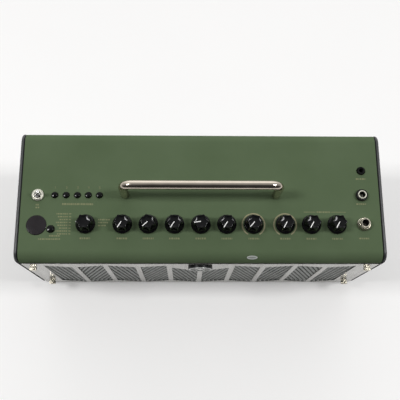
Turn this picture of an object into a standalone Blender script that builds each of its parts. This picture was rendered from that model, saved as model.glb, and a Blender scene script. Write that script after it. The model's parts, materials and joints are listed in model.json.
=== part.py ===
"""Small guitar amplifier with top controls and a carry handle.

Metres, +Z up. The front faces -Y, +X is to the right seen from the front. The origin is on the
ground under the middle of the bounding box. Every object is one physical piece. Knobs, buttons,
the power lever and the speaker cones have their origins on their joint axes.
"""
import math

import bmesh
import bpy
from mathutils import Matrix, Vector

CLEARANCE = 0.0003          # gap kept between neighbouring pieces

# Driving dimensions
WIDTH = 0.360               # over the end caps
BODY_DEPTH = 0.131          # over the end caps
TOP_Z = 0.145               # top face of the cover above the ground
FOOT_HEIGHT = 0.004
BODY_Y = 0.0033             # middle of the body, so that screw heads and rear edge are centred
HANDLE_RISE = 0.0343        # handle bar centre above the top face
SHEET = 0.0014              # steel sheet of the cover

BODY_FRONT = BODY_Y - BODY_DEPTH / 2
BODY_REAR = BODY_Y + BODY_DEPTH / 2
EDGE_RADIUS = 0.010         # bend of the cover along the front and rear edges
FOOT_EDGE_RADIUS = 0.006    # lower corners of the end caps

# End caps
CAP_RIM = 0.003
CAP_SHADOW_GAP = 0.001
CAP_LEDGE = 0.006           # how far the inner ledge reaches under the cover
CAP_LEDGE_WALL = 0.0022
COVER_HALF = WIDTH / 2 - CAP_RIM - CAP_SHADOW_GAP
COVER_INSET = 0.00025       # cover lies this far inside the rim of the caps
LIP_HEIGHT = 0.014          # front and rear lips of the cover, measured from the top face

# Front panel, set between the rims of the caps, and its windows
PANEL_FRONT = BODY_FRONT - 0.0006
PANEL_SHEET = 0.0010
PANEL_HALF = WIDTH / 2 - CAP_RIM - CLEARANCE
PANEL_TOP = TOP_Z - LIP_HEIGHT - CLEARANCE
PANEL_BOTTOM = FOOT_HEIGHT + 0.0005
PANEL_CORNER = 0.0055
WINDOW_COUNT = 10
WINDOW_PITCH = 0.0316
BAR_WIDTH = 0.0054
WINDOW_TOP_HIGH = TOP_Z - 0.0240      # upper corners beside the odd bars and at the ends
WINDOW_TOP_LOW = TOP_Z - 0.0340       # upper corners beside the even bars
BADGE_WINDOW_OUTER = TOP_Z - 0.0370   # upper corners of the two windows below the badge
BADGE_WINDOW_INNER = TOP_Z - 0.0575
WINDOW_LOW_HIGH = FOOT_HEIGHT + 0.0145    # lower corners beside the odd bars and at the ends
WINDOW_LOW_LOW = FOOT_HEIGHT + 0.0030     # lower corners beside the even bars
GRILLE_HALF = 0.1580
GRILLE_SHEET = 0.0008
SCREW_X = 0.1640
SCREW_HEIGHTS = (TOP_Z - 0.0180, TOP_Z - 0.1145)
SCREW_HEAD_RADIUS = 0.0036
SCREW_HEAD_LENGTH = 0.0057
BADGE_Z = TOP_Z - 0.029
BADGE_RADIUS = 0.0122
BADGE_X = -0.0005

# Rear panel
REAR_SHEET = 0.0010
REAR_PANEL_INNER = BODY_REAR - 0.0014
VENT_GROUPS = (-0.110, 0.0)
VENT_LOW = 0.078
VENT_COUNT = 7
VENT_PITCH = 0.0095
VENT_WIDTH = 0.0026
VENT_HEIGHT = 0.034

# Handle
HANDLE_CENTRE = -0.0005
HANDLE_HALF = 0.0743        # from the middle of the handle to a post
HANDLE_Y = BODY_Y + 0.0002
HANDLE_RADIUS = 0.0043
HANDLE_BEND = 0.0095
SPIGOT_RADIUS = 0.0029
SPIGOT_LENGTH = 0.0078

# Controls on the top face: name, x and the rest angle, clockwise from the rear
KNOB_Y = BODY_Y - 0.0297
KNOBS = (
    ("knob_model", -0.1121, -92),
    ("knob_gain", -0.0765, -150),
    ("knob_master", -0.0514, -134),
    ("knob_bass", -0.0260, -148),
    ("knob_middle", -0.0005, -98),
    ("knob_treble", 0.0247, -148),
    ("knob_effect", 0.0508, -138),
    ("knob_delay", 0.0817, -150),
    ("knob_guitar_volume", 0.1072, -150),
    ("knob_audio_volume", 0.1322, -150),
)
KNOB_LOBES = 6
KNOB_TOP = 0.0142
POINTER_WIDTH = 0.0010
SHAFT_RADIUS = 0.0030
SHAFT_DEPTH = 0.0080
SHAFT_HOLE = 0.0036
BUTTON_Y = BODY_Y - 0.0004
BUTTON_X = (-0.1433, -0.1322, -0.1213, -0.1106, -0.0998)
BUTTON_RADIUS = 0.0030
TAP_X, TAP_Y = -0.1456, BODY_Y - 0.0344
TAP_RADIUS = 0.0036
BUTTON_PLAY = 0.0003
TOGGLE_X, TOGGLE_Y = -0.1598, BODY_Y - 0.0006
TOGGLE_PIVOT = TOP_Z + 0.0022
TOGGLE_LEAN = math.radians(13)
TUNER_X, TUNER_Y = -0.1596, BODY_Y - 0.0306
TUNER_RADIUS = 0.00975

# Sockets on the top face
AUX_X, AUX_Y = 0.1596, BODY_Y + 0.0256
PHONES_X, PHONES_Y = 0.1584, BODY_Y
INPUT_X, INPUT_Y = 0.1591, BODY_Y - 0.0291
AUX_RADIUS = 0.0040
PHONES_BUSH = 0.0042
INPUT_BUSH = 0.0047

# Inside
BAFFLE_FRONT = BODY_FRONT + 0.0042
BAFFLE_SHEET = 0.0050
BAFFLE_HALF = 0.1680
BAFFLE_TOP = TOP_Z - 0.0120
BAFFLE_BOTTOM = FOOT_HEIGHT + 0.0040
SPEAKER_X = 0.0850
SPEAKER_Z = 0.0660
SPEAKER_FLANGE = 0.0410
SPEAKER_OPENING = 0.0345
CONTROL_BOARD_TOP = TOP_Z - 0.0094
CONTROL_BOARD_SHEET = 0.0016
COVER_INNER_Z = TOP_Z - COVER_INSET - SHEET
BATTERY_X, BATTERY_Y = 0.0, 0.0220
BATTERY_LENGTH, BATTERY_WIDTH, BATTERY_HEIGHT = 0.1120, 0.0650, 0.0195
MAIN_BOARD_Y = 0.0500
DC_X, USB_X, REAR_INLET_Z = 0.1050, 0.0800, 0.0550


# Helpers --------------------------------------------------------------------------------------

def material(name, colour, roughness, metallic=0.0):
    """A Principled material, made once and then shared."""
    found = bpy.data.materials.get(name)
    if found:
        return found
    made = bpy.data.materials.new(name)
    made.use_nodes = True
    shader = made.node_tree.nodes["Principled BSDF"]
    shader.inputs["Base Color"].default_value = (*colour, 1.0)
    shader.inputs["Roughness"].default_value = roughness
    shader.inputs["Metallic"].default_value = metallic
    made.diffuse_color = (*colour, 1.0)
    return made


def add_object(name, shape, surface=None):
    """Turn a bmesh into an object, facing out and shaded smooth below 35 degrees."""
    bmesh.ops.recalc_face_normals(shape, faces=shape.faces)
    mesh = bpy.data.meshes.new(name)
    shape.to_mesh(mesh)
    shape.free()
    mesh.shade_smooth()
    mesh.set_sharp_from_angle(angle=math.radians(35))
    made = bpy.data.objects.new(name, mesh)
    bpy.context.scene.collection.objects.link(made)
    if surface:
        mesh.materials.append(surface)
    return made


def add_loft(shape, loops, closed=False):
    """Bridge loops of points that have equal counts; cap both ends unless the loft is closed."""
    rings = [[shape.verts.new(point) for point in loop] for loop in loops]
    count = len(rings[0])
    pairs = list(zip(rings, rings[1:]))
    if closed:
        pairs.append((rings[-1], rings[0]))
    else:
        shape.faces.new(rings[0])
        shape.faces.new(rings[-1])
    for low, high in pairs:
        for i in range(count):
            j = (i + 1) % count
            shape.faces.new((low[i], low[j], high[j], high[i]))


def circle(radius, height, segments, lobes=0, lobe_depth=0.0):
    """Points of a circle round Z, waved in and out when it has lobes, with one lobe at +Y."""
    points = []
    for i in range(segments):
        angle = math.tau * i / segments
        reach = radius - lobe_depth * (0.5 - 0.5 * math.cos(lobes * (angle - math.pi / 2)))
        points.append(Vector((reach * math.cos(angle), reach * math.sin(angle), height)))
    return points


def round_segments(radius):
    """Fewer segments on small rounds."""
    for limit, segments in ((0.0035, 12), (0.0070, 16), (0.0150, 20)):
        if radius <= limit:
            return segments
    return 24


def add_turned(shape, profile, closed=False, place=None):
    """Turn a profile of (radius, height) about Z, or about the Z of the matrix place."""
    place = place or Matrix.Identity(4)
    segments = round_segments(max(radius for radius, _ in profile))
    loops = [[place @ point for point in circle(r, h, segments)] for r, h in profile]
    add_loft(shape, loops, closed)


def add_box(shape, low, high):
    """A box between two corners."""
    outline = ((low[0], low[1]), (high[0], low[1]), (high[0], high[1]), (low[0], high[1]))
    add_loft(shape, [[Vector((x, y, z)) for x, y in outline] for z in (low[2], high[2])])


def turned(name, profile, surface, location, closed=False, axis="+Z"):
    """A turned piece whose axis points up, to the front (-Y) or to the rear (+Y)."""
    shape = bmesh.new()
    add_turned(shape, profile, closed)
    made = add_object(name, shape, surface)
    made.location = location
    made.rotation_euler.x = {"+Z": 0.0, "-Y": math.pi / 2, "+Y": -math.pi / 2}[axis]
    return made


def boolean(target, operand, operation):
    """Cut or join with another object, which is only a helper and is left out of the build."""
    operand.hide_render = True
    operand.display_type = "WIRE"
    modifier = target.modifiers.new(operation.title(), "BOOLEAN")
    modifier.operation = operation
    modifier.object = operand
    modifier.solver = "EXACT"


def vertical_cylinders(name, holes, low, high):
    """One helper with a cylinder for each (x, y, radius)."""
    shape = bmesh.new()
    for x, y, radius in holes:
        add_turned(shape, ((radius, low), (radius, high)), place=Matrix.Translation((x, y, 0)))
    return add_object(name, shape)


def boxes(name, corner_pairs):
    """One helper with a box for each pair of corners."""
    shape = bmesh.new()
    for low, high in corner_pairs:
        add_box(shape, low, high)
    return add_object(name, shape)


def arc(centre, radius, start, end, steps):
    """Points of an arc; angles in degrees from the first axis towards the second."""
    points = []
    for i in range(steps + 1):
        angle = math.radians(start + (end - start) * i / steps)
        points.append((centre[0] + radius * math.cos(angle), centre[1] + radius * math.sin(angle)))
    return points


def body_outline(inset, x, steps=4):
    """Side outline of the body at x, moved inwards by inset."""
    top = EDGE_RADIUS
    low = FOOT_EDGE_RADIUS
    corners = (
        ((BODY_REAR - top, TOP_Z - top), top, 0),
        ((BODY_FRONT + top, TOP_Z - top), top, 90),
        ((BODY_FRONT + low, FOOT_HEIGHT + low), low, 180),
        ((BODY_REAR - low, FOOT_HEIGHT + low), low, 270),
    )
    outline = []
    for centre, radius, start in corners:
        outline += arc(centre, radius - inset, start, start + 90, steps)
    return [Vector((x, y, z)) for y, z in outline]


# Materials ------------------------------------------------------------------------------------

GREEN_PAINT = material("green_paint", (0.095, 0.130, 0.075), 0.45)
CAP_PLASTIC = material("cap_plastic", (0.030, 0.033, 0.036), 0.50)
PANEL_METAL = material("panel_metal", (0.43, 0.45, 0.42), 0.38, 0.6)
MESH_METAL = material("mesh_metal", (0.10, 0.11, 0.105), 0.45, 0.7)
BLACK_PLASTIC = material("black_plastic", (0.006, 0.006, 0.007), 0.18)
NICKEL = material("nickel", (0.72, 0.66, 0.56), 0.22, 1.0)
CHROME = material("chrome", (0.80, 0.80, 0.80), 0.10, 1.0)
BLACK_METAL = material("black_metal", (0.010, 0.010, 0.010), 0.35, 0.5)
ENAMEL = material("enamel", (0.006, 0.006, 0.007), 0.12)
LABEL_METAL = material("label_metal", (0.55, 0.56, 0.55), 0.35, 0.6)
WINDOW_ACRYLIC = material("window_acrylic", (0.020, 0.012, 0.018), 0.12)
RUBBER = material("rubber", (0.015, 0.015, 0.015), 0.85)
BLACK_STEEL = material("black_steel", (0.018, 0.018, 0.018), 0.55, 0.3)
BOARD_GREEN = material("board_green", (0.015, 0.090, 0.035), 0.45)
BAFFLE_BOARD = material("baffle_board", (0.025, 0.022, 0.020), 0.80)
PAPER = material("cone_paper", (0.022, 0.021, 0.020), 0.85)
SPEAKER_STEEL = material("speaker_steel", (0.20, 0.20, 0.21), 0.40, 0.8)


# Enclosure ------------------------------------------------------------------------------------

def make_wrap_cover():
    """Bent sheet over the front edge, the top and the rear edge, with the control holes."""
    front = BODY_FRONT + COVER_INSET
    rear = BODY_REAR - COVER_INSET
    top = TOP_Z - COVER_INSET
    radius = EDGE_RADIUS
    lip = TOP_Z - LIP_HEIGHT
    outer = [(rear, lip)]
    outer += arc((rear - radius, top - radius), radius, 0, 90, 6)
    outer += arc((front + radius, top - radius), radius, 90, 180, 6)
    outer += [(front, lip)]
    inner = [(front + SHEET, lip)]
    inner += arc((front + radius, top - radius), radius - SHEET, 180, 90, 6)
    inner += arc((rear - radius, top - radius), radius - SHEET, 90, 0, 6)
    inner += [(rear - SHEET, lip)]
    shape = bmesh.new()
    add_loft(shape, [[Vector((x, y, z)) for y, z in outer + inner] for x in (-COVER_HALF, COVER_HALF)])
    cover = add_object("wrap_cover", shape, GREEN_PAINT)

    holes = [(x, KNOB_Y, SHAFT_HOLE) for _, x, _ in KNOBS]
    holes += [(x, BUTTON_Y, BUTTON_RADIUS + BUTTON_PLAY) for x in BUTTON_X]
    holes += [
        (TAP_X, TAP_Y, TAP_RADIUS + BUTTON_PLAY),
        (TUNER_X, TUNER_Y, TUNER_RADIUS + CLEARANCE),
        (TOGGLE_X, TOGGLE_Y, 0.0034),
        (AUX_X, AUX_Y, AUX_RADIUS + CLEARANCE),
        (PHONES_X, PHONES_Y, PHONES_BUSH + CLEARANCE),
        (INPUT_X, INPUT_Y, INPUT_BUSH + CLEARANCE),
        (HANDLE_CENTRE - HANDLE_HALF, HANDLE_Y, SPIGOT_RADIUS + CLEARANCE),
        (HANDLE_CENTRE + HANDLE_HALF, HANDLE_Y, SPIGOT_RADIUS + CLEARANCE),
    ]
    drills = vertical_cylinders("cover_holes", holes, TOP_Z - 0.005, TOP_Z + 0.005)
    boolean(cover, drills, "DIFFERENCE")


def make_side_cap(name, side):
    """Moulded end cap: rounded rim outside, ledge ring inside that carries the cover."""
    outer = WIDTH / 2
    rim = outer - CAP_RIM
    ledge_inset = COVER_INSET + SHEET + CLEARANCE + 0.00015
    pocket_inset = ledge_inset + CAP_LEDGE_WALL
    stations = (
        (outer, 0.0016),
        (outer - 0.0004, 0.0006),
        (outer - 0.0011, 0.0),
        (rim + 0.0004, 0.0),
        (rim, 0.0004),
        (rim, ledge_inset),
        (rim - CAP_LEDGE, ledge_inset),
        (rim - CAP_LEDGE, pocket_inset),
        (rim + 0.0006, pocket_inset),
    )
    shape = bmesh.new()
    add_loft(shape, [body_outline(inset, side * x) for x, inset in stations])
    add_object(name, shape, CAP_PLASTIC)


def window_top(bar, index):
    """Height of the upper corner beside a bar, counted from the middle bar."""
    if index in (WINDOW_COUNT // 2 - 1, WINDOW_COUNT // 2):
        return BADGE_WINDOW_INNER if bar == 0 else BADGE_WINDOW_OUTER
    return WINDOW_TOP_LOW if bar % 2 == 0 else WINDOW_TOP_HIGH


def window_outline(index):
    """The four corners of a window, whose upper and lower edges both slant."""
    left_bar = index - WINDOW_COUNT // 2
    right_bar = left_bar + 1
    left = left_bar * WINDOW_PITCH + BAR_WIDTH / 2
    right = right_bar * WINDOW_PITCH - BAR_WIDTH / 2
    return (
        (left, WINDOW_LOW_LOW if left_bar % 2 == 0 else WINDOW_LOW_HIGH),
        (right, WINDOW_LOW_LOW if right_bar % 2 == 0 else WINDOW_LOW_HIGH),
        (right, window_top(right_bar, index)),
        (left, window_top(left_bar, index)),
    )


def panel_outline():
    """Outline of the front and rear panels, with rounded lower corners."""
    reach = PANEL_HALF - PANEL_CORNER
    low = PANEL_BOTTOM + PANEL_CORNER
    outline = [(PANEL_HALF, PANEL_TOP), (-PANEL_HALF, PANEL_TOP)]
    outline += arc((-reach, low), PANEL_CORNER, 180, 270, 4)
    outline += arc((reach, low), PANEL_CORNER, 270, 360, 4)
    return outline


def make_front_panel():
    """Flat plate between the caps with ten slanted windows and four screw holes."""
    back = PANEL_FRONT + PANEL_SHEET
    shape = bmesh.new()
    add_loft(shape, [[Vector((x, y, z)) for x, z in panel_outline()] for y in (PANEL_FRONT, back)])
    panel = add_object("front_panel", shape, PANEL_METAL)
    bevel = panel.modifiers.new("Bevel", "BEVEL")
    bevel.width = 0.0004
    bevel.segments = 1

    cutter = bmesh.new()
    depths = (PANEL_FRONT - 0.002, back + 0.002)
    for index in range(WINDOW_COUNT):
        add_loft(cutter, [[Vector((x, y, z)) for x, z in window_outline(index)] for y in depths])
    for x in (-SCREW_X, SCREW_X):
        for z in SCREW_HEIGHTS:
            place = Matrix.Translation((x, PANEL_FRONT, z)) @ Matrix.Rotation(math.pi / 2, 4, "X")
            add_turned(cutter, ((0.0018, -0.004), (0.0018, 0.003)), place=place)
    boolean(panel, add_object("panel_openings", cutter), "DIFFERENCE")


def make_grille_mesh():
    """Perforated sheet close behind the windows."""
    front = PANEL_FRONT + PANEL_SHEET + CLEARANCE
    shape = bmesh.new()
    add_box(shape, (-GRILLE_HALF, front, PANEL_BOTTOM + 0.001),
            (GRILLE_HALF, front + GRILLE_SHEET, PANEL_TOP - 0.002))
    add_object("grille_mesh", shape, MESH_METAL)


def make_thumbscrews():
    """Knurled screws through the front panel into the baffle."""
    names = ("upper", "lower")
    for side, x in (("left", -SCREW_X), ("right", SCREW_X)):
        for level, z in zip(names, SCREW_HEIGHTS):
            profile = (
                (0.0013, -0.0090),
                (0.0013, 0.0),
                (SCREW_HEAD_RADIUS - 0.0004, 0.0),
                (SCREW_HEAD_RADIUS, 0.0004),
                (SCREW_HEAD_RADIUS, SCREW_HEAD_LENGTH - 0.0005),
                (SCREW_HEAD_RADIUS - 0.0005, SCREW_HEAD_LENGTH),
            )
            location = (x, PANEL_FRONT - CLEARANCE, z)
            turned(f"thumbscrew_{level}_{side}", profile, NICKEL, location, axis="-Y")


def make_front_badge():
    """Round badge: a thick rim round a sunk enamel field with a raised boss."""
    radius = BADGE_RADIUS
    profile = (
        (radius, 0.0),
        (radius, 0.0022),
        (radius - 0.0006, 0.0029),
        (radius - 0.0016, 0.0029),
        (radius - 0.0020, 0.0023),
        (0.0052, 0.0023),
        (0.0048, 0.0028),
        (0.0030, 0.0028),
    )
    turned("front_badge", profile, ENAMEL, (BADGE_X, PANEL_FRONT - CLEARANCE, BADGE_Z), axis="-Y")


def make_label_plate():
    """Thin oval plate lying on the front bend of the cover."""
    half_length, half_height, rise = 0.0052, 0.0019, 0.0006
    shape = bmesh.new()
    stretch = Matrix.Diagonal((half_length, half_height, 1.0, 1.0))
    loops = []
    for scale, height in ((1.0, 0.0), (1.0, rise * 0.6), (0.93, rise)):
        loops.append([stretch @ point for point in circle(scale, height, 24)])
    add_loft(shape, loops)
    plate = add_object("label_plate", shape, LABEL_METAL)
    lean = math.radians(38)
    reach = EDGE_RADIUS + 0.00035
    centre_y = BODY_FRONT + COVER_INSET + EDGE_RADIUS
    centre_z = TOP_Z - COVER_INSET - EDGE_RADIUS
    plate.location = (0.049, centre_y - reach * math.sin(lean), centre_z + reach * math.cos(lean))
    plate.rotation_euler.x = lean


def make_rear_panel():
    """Rear sheet with two groups of vent slots and two inlet openings."""
    shape = bmesh.new()
    depths = (REAR_PANEL_INNER, REAR_PANEL_INNER + REAR_SHEET)
    add_loft(shape, [[Vector((x, y, z)) for x, z in panel_outline()] for y in depths])
    panel = add_object("rear_panel", shape, BLACK_STEEL)

    near, far = depths[0] - 0.002, depths[1] + 0.002
    cutter = bmesh.new()
    for group in VENT_GROUPS:
        for i in range(VENT_COUNT):
            x = group + (i - (VENT_COUNT - 1) / 2) * VENT_PITCH
            add_box(cutter, (x - VENT_WIDTH / 2, near, VENT_LOW),
                    (x + VENT_WIDTH / 2, far, VENT_LOW + VENT_HEIGHT))
    add_box(cutter, (USB_X - 0.0066, near, REAR_INLET_Z - 0.0060),
            (USB_X + 0.0066, far, REAR_INLET_Z + 0.0060))
    place = Matrix.Translation((DC_X, near, REAR_INLET_Z)) @ Matrix.Rotation(-math.pi / 2, 4, "X")
    add_turned(cutter, ((0.0058, 0.0), (0.0058, 0.006)), place=place)
    boolean(panel, add_object("rear_openings", cutter), "DIFFERENCE")


def make_bottom_plate():
    """Floor sheet with a rear flange and the battery opening."""
    low = FOOT_HEIGHT + CLEARANCE
    sheet = 0.0013
    front = PANEL_FRONT + PANEL_SHEET + GRILLE_SHEET + 2 * CLEARANCE
    rear = REAR_PANEL_INNER - CLEARANCE
    outline = ((front, low), (rear, low), (rear, low + 0.012), (rear - sheet, low + 0.012),
               (rear - sheet, low + sheet), (front, low + sheet))
    shape = bmesh.new()
    half = COVER_HALF - 0.0060
    add_loft(shape, [[Vector((x, y, z)) for y, z in outline] for x in (-half, half)])
    plate = add_object("bottom_plate", shape, BLACK_STEEL)
    half_x, half_y = BATTERY_LENGTH / 2 - 0.001, BATTERY_WIDTH / 2 - 0.001
    opening = boxes("battery_opening", [((BATTERY_X - half_x, BATTERY_Y - half_y, 0.0),
                                         (BATTERY_X + half_x, BATTERY_Y + half_y, 0.012))])
    boolean(plate, opening, "DIFFERENCE")

    shape = bmesh.new()
    gap = 0.0004
    add_box(shape, (BATTERY_X - half_x + gap, BATTERY_Y - half_y + gap, low),
            (BATTERY_X + half_x - gap, BATTERY_Y + half_y - gap, low + 0.0016))
    door = add_object("battery_door", shape, CAP_PLASTIC)
    grooves = []
    for i in range(4):
        y = BATTERY_Y - 0.0265 + 0.003 * i
        grooves.append(((BATTERY_X - 0.006, y, low - 0.001), (BATTERY_X + 0.006, y + 0.0015, low + 0.0006)))
    boolean(door, boxes("door_grip", grooves), "DIFFERENCE")


def make_feet():
    """Four round rubber feet, each with a countersink for its screw."""
    profile = (
        (0.0022, 0.0022),
        (0.0050, 0.0),
        (0.0072, 0.0),
        (0.0082, FOOT_HEIGHT / 2),
        (0.0082, FOOT_HEIGHT),
    )
    for side, x in (("left", -0.148), ("right", 0.148)):
        for end, y in (("front", BODY_Y - 0.048), ("rear", BODY_Y + 0.048)):
            turned(f"foot_{end}_{side}", profile, RUBBER, (x, y, 0))


# Handle ---------------------------------------------------------------------------------------

def make_handle():
    """Bent tube with a thinner spigot at each end that passes through the cover."""
    shoulder = TOP_Z + 0.0001
    bar = TOP_Z + HANDLE_RISE
    stations = [
        (-HANDLE_HALF, shoulder - SPIGOT_LENGTH, 0, SPIGOT_RADIUS),
        (-HANDLE_HALF, shoulder, 0, SPIGOT_RADIUS),
        (-HANDLE_HALF, shoulder, 0, HANDLE_RADIUS),
    ]
    steps = 6
    for i in range(steps + 1):
        turn = math.pi / 2 * i / steps
        x = -HANDLE_HALF + HANDLE_BEND * (1 - math.cos(turn))
        stations.append((x, bar - HANDLE_BEND * (1 - math.sin(turn)), turn, HANDLE_RADIUS))
    stations += [(-x, z, math.pi - turn, radius) for x, z, turn, radius in reversed(stations)]
    loops = []
    for x, z, turn, radius in stations:
        place = Matrix.Translation((HANDLE_CENTRE + x, HANDLE_Y, z)) @ Matrix.Rotation(turn, 4, "Y")
        loops.append([place @ point for point in circle(radius, 0, 12)])
    shape = bmesh.new()
    add_loft(shape, loops)
    add_object("handle", shape, NICKEL)

    bore = SPIGOT_RADIUS + CLEARANCE
    top = COVER_INNER_Z - CLEARANCE
    profile = ((bore, top - 0.004), (0.0052, top - 0.004), (0.0052, top), (bore, top))
    for side, x in (("left", -HANDLE_HALF), ("right", HANDLE_HALF)):
        turned(f"handle_nut_{side}", profile, CHROME, (HANDLE_CENTRE + x, HANDLE_Y, 0), closed=True)


# Controls -------------------------------------------------------------------------------------

def make_knobs():
    """Lobed knobs, each on the shaft that turns with it, with a groove as pointer."""
    plain = (
        (SHAFT_RADIUS, -SHAFT_DEPTH),
        (SHAFT_RADIUS, 0.0006),
        (0.0095, 0.0006),
        (0.0095, 0.0024),
        (0.0088, 0.0032),
    )
    lobed = (
        (0.0083, 0.0040, 0.0014),
        (0.0076, KNOB_TOP - 0.0010, 0.0014),
        (0.0068, KNOB_TOP, 0.0010),
    )
    segments = KNOB_LOBES * 4
    for name, x, angle in KNOBS:
        shape = bmesh.new()
        loops = [circle(r, h, segments) for r, h in plain]
        loops += [circle(r, h, segments, KNOB_LOBES, depth) for r, h, depth in lobed]
        add_loft(shape, loops)
        knob = add_object(name, shape, BLACK_PLASTIC)
        # The model selector has only a notch in its rim, the others a groove from the middle.
        start = 0.0056 if name == "knob_model" else 0.0
        groove = boxes(f"{name}_groove", [((-POINTER_WIDTH / 2, start, KNOB_TOP - 0.0005),
                                           (POINTER_WIDTH / 2, 0.0080, KNOB_TOP + 0.0020))])
        groove.parent = knob
        boolean(knob, groove, "DIFFERENCE")
        knob.location = (x, KNOB_Y, TOP_Z)
        knob.rotation_euler.z = -math.radians(angle)


def button_profile(radius, rise):
    """Domed cap, a flange under the cover that keeps it in, and a stem."""
    flange_top = COVER_INNER_Z - CLEARANCE - TOP_Z
    flange = radius + 0.0006
    return (
        (0.0015, flange_top - 0.0021),
        (0.0015, flange_top - 0.0008),
        (flange, flange_top - 0.0008),
        (flange, flange_top),
        (radius, flange_top),
        (radius, rise * 0.45),
        (radius * 0.86, rise * 0.80),
        (radius * 0.50, rise),
    )


def make_buttons():
    """Five memory buttons and the tap button."""
    for number, x in enumerate(BUTTON_X, 1):
        turned(f"memory_button_{number}", button_profile(BUTTON_RADIUS, 0.0022), BLACK_PLASTIC,
               (x, BUTTON_Y, TOP_Z))
    turned("tap_button", button_profile(TAP_RADIUS, 0.0026), BLACK_PLASTIC, (TAP_X, TAP_Y, TOP_Z))


def make_tuner_window():
    """Dark acrylic disc set flush in the cover, bonded to the display below it."""
    profile = (
        (TUNER_RADIUS, COVER_INNER_Z - 0.0006),
        (TUNER_RADIUS, TOP_Z - 0.0001),
        (TUNER_RADIUS - 0.0003, TOP_Z + 0.0002),
    )
    turned("tuner_window", profile, WINDOW_ACRYLIC, (TUNER_X, TUNER_Y, 0))


def make_power_toggle():
    """Switch body with its bush, the dress nut and the lever that tilts in the bush."""
    bush_top = TOP_Z + 0.0040
    box_top = COVER_INNER_Z - CLEARANCE
    bush = ((0.0030, box_top - 0.001), (0.0030, bush_top), (0.0021, bush_top), (0.0021, TOP_Z - 0.0012))
    switch = turned("toggle_switch", bush, CHROME, (TOGGLE_X, TOGGLE_Y, 0))
    body = boxes("toggle_box", [((TOGGLE_X - 0.0064, TOGGLE_Y - 0.0040, box_top - 0.0100),
                                 (TOGGLE_X + 0.0064, TOGGLE_Y + 0.0040, box_top))])
    boolean(switch, body, "UNION")

    nut_low = TOP_Z + 0.0001
    nut = ((0.0033, nut_low), (0.0058, nut_low), (0.0061, nut_low + 0.0006), (0.0059, nut_low + 0.0014),
           (0.0044, nut_low + 0.0024), (0.0033, nut_low + 0.0024))
    turned("toggle_nut", nut, NICKEL, (TOGGLE_X, TOGGLE_Y, 0), closed=True)

    lever = ((0.0009, -0.0024), (0.0012, -0.0014), (0.0012, 0.0), (0.0011, 0.0028), (0.0014, 0.0060),
             (0.0018, 0.0088), (0.0018, 0.0098), (0.0012, 0.0108))
    arm = turned("toggle_lever", lever, CHROME, (TOGGLE_X, TOGGLE_Y, TOGGLE_PIVOT))
    arm.rotation_euler.y = TOGGLE_LEAN


def make_socket(name, place, bush, rise, bore, box_half, box_depth, surface):
    """Bush through the cover on a square body below it, with a round bore from the top."""
    x, y = place
    box_top = COVER_INNER_Z - CLEARANCE
    top = TOP_Z + rise
    profile = ((bush, box_top - 0.001), (bush, top - 0.0004), (bush - 0.0004, top))
    jack = turned(name, profile, surface, (x, y, 0))
    low = (x - box_half, y - box_half, box_top - box_depth)
    high = (x + box_half, y + box_half, box_top)
    boolean(jack, boxes(f"{name}_box", [(low, high)]), "UNION")
    hole = vertical_cylinders(f"{name}_bore", [(x, y, bore)], box_top - box_depth + 0.002, top + 0.002)
    boolean(jack, hole, "DIFFERENCE")


def make_sockets():
    """Instrument input, headphone and auxiliary sockets with the nuts that hold them."""
    make_socket("input_jack", (INPUT_X, INPUT_Y), INPUT_BUSH, 0.0068, 0.0033, 0.0070, 0.0240, NICKEL)
    make_socket("phones_jack", (PHONES_X, PHONES_Y), PHONES_BUSH, 0.0046, 0.0031, 0.0065, 0.0180, CHROME)
    make_socket("aux_jack", (AUX_X, AUX_Y), AUX_RADIUS, 0.0016, 0.0019, 0.0055, 0.0120, BLACK_PLASTIC)

    low = TOP_Z + 0.0001
    bore = INPUT_BUSH + 0.0002
    nut = ((bore, low), (0.0068, low), (0.0068, low + 0.0014), (0.0060, low + 0.0024),
           (0.0060, low + 0.0040), (0.0055, low + 0.0046), (bore, low + 0.0046))
    turned("input_nut", nut, NICKEL, (INPUT_X, INPUT_Y, 0), closed=True)
    bore = PHONES_BUSH + 0.0002
    nut = ((bore, low), (0.0059, low), (0.0059, low + 0.0026), (0.0054, low + 0.0034), (bore, low + 0.0034))
    turned("phones_nut", nut, BLACK_METAL, (PHONES_X, PHONES_Y, 0), closed=True)


# Inside ---------------------------------------------------------------------------------------

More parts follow.
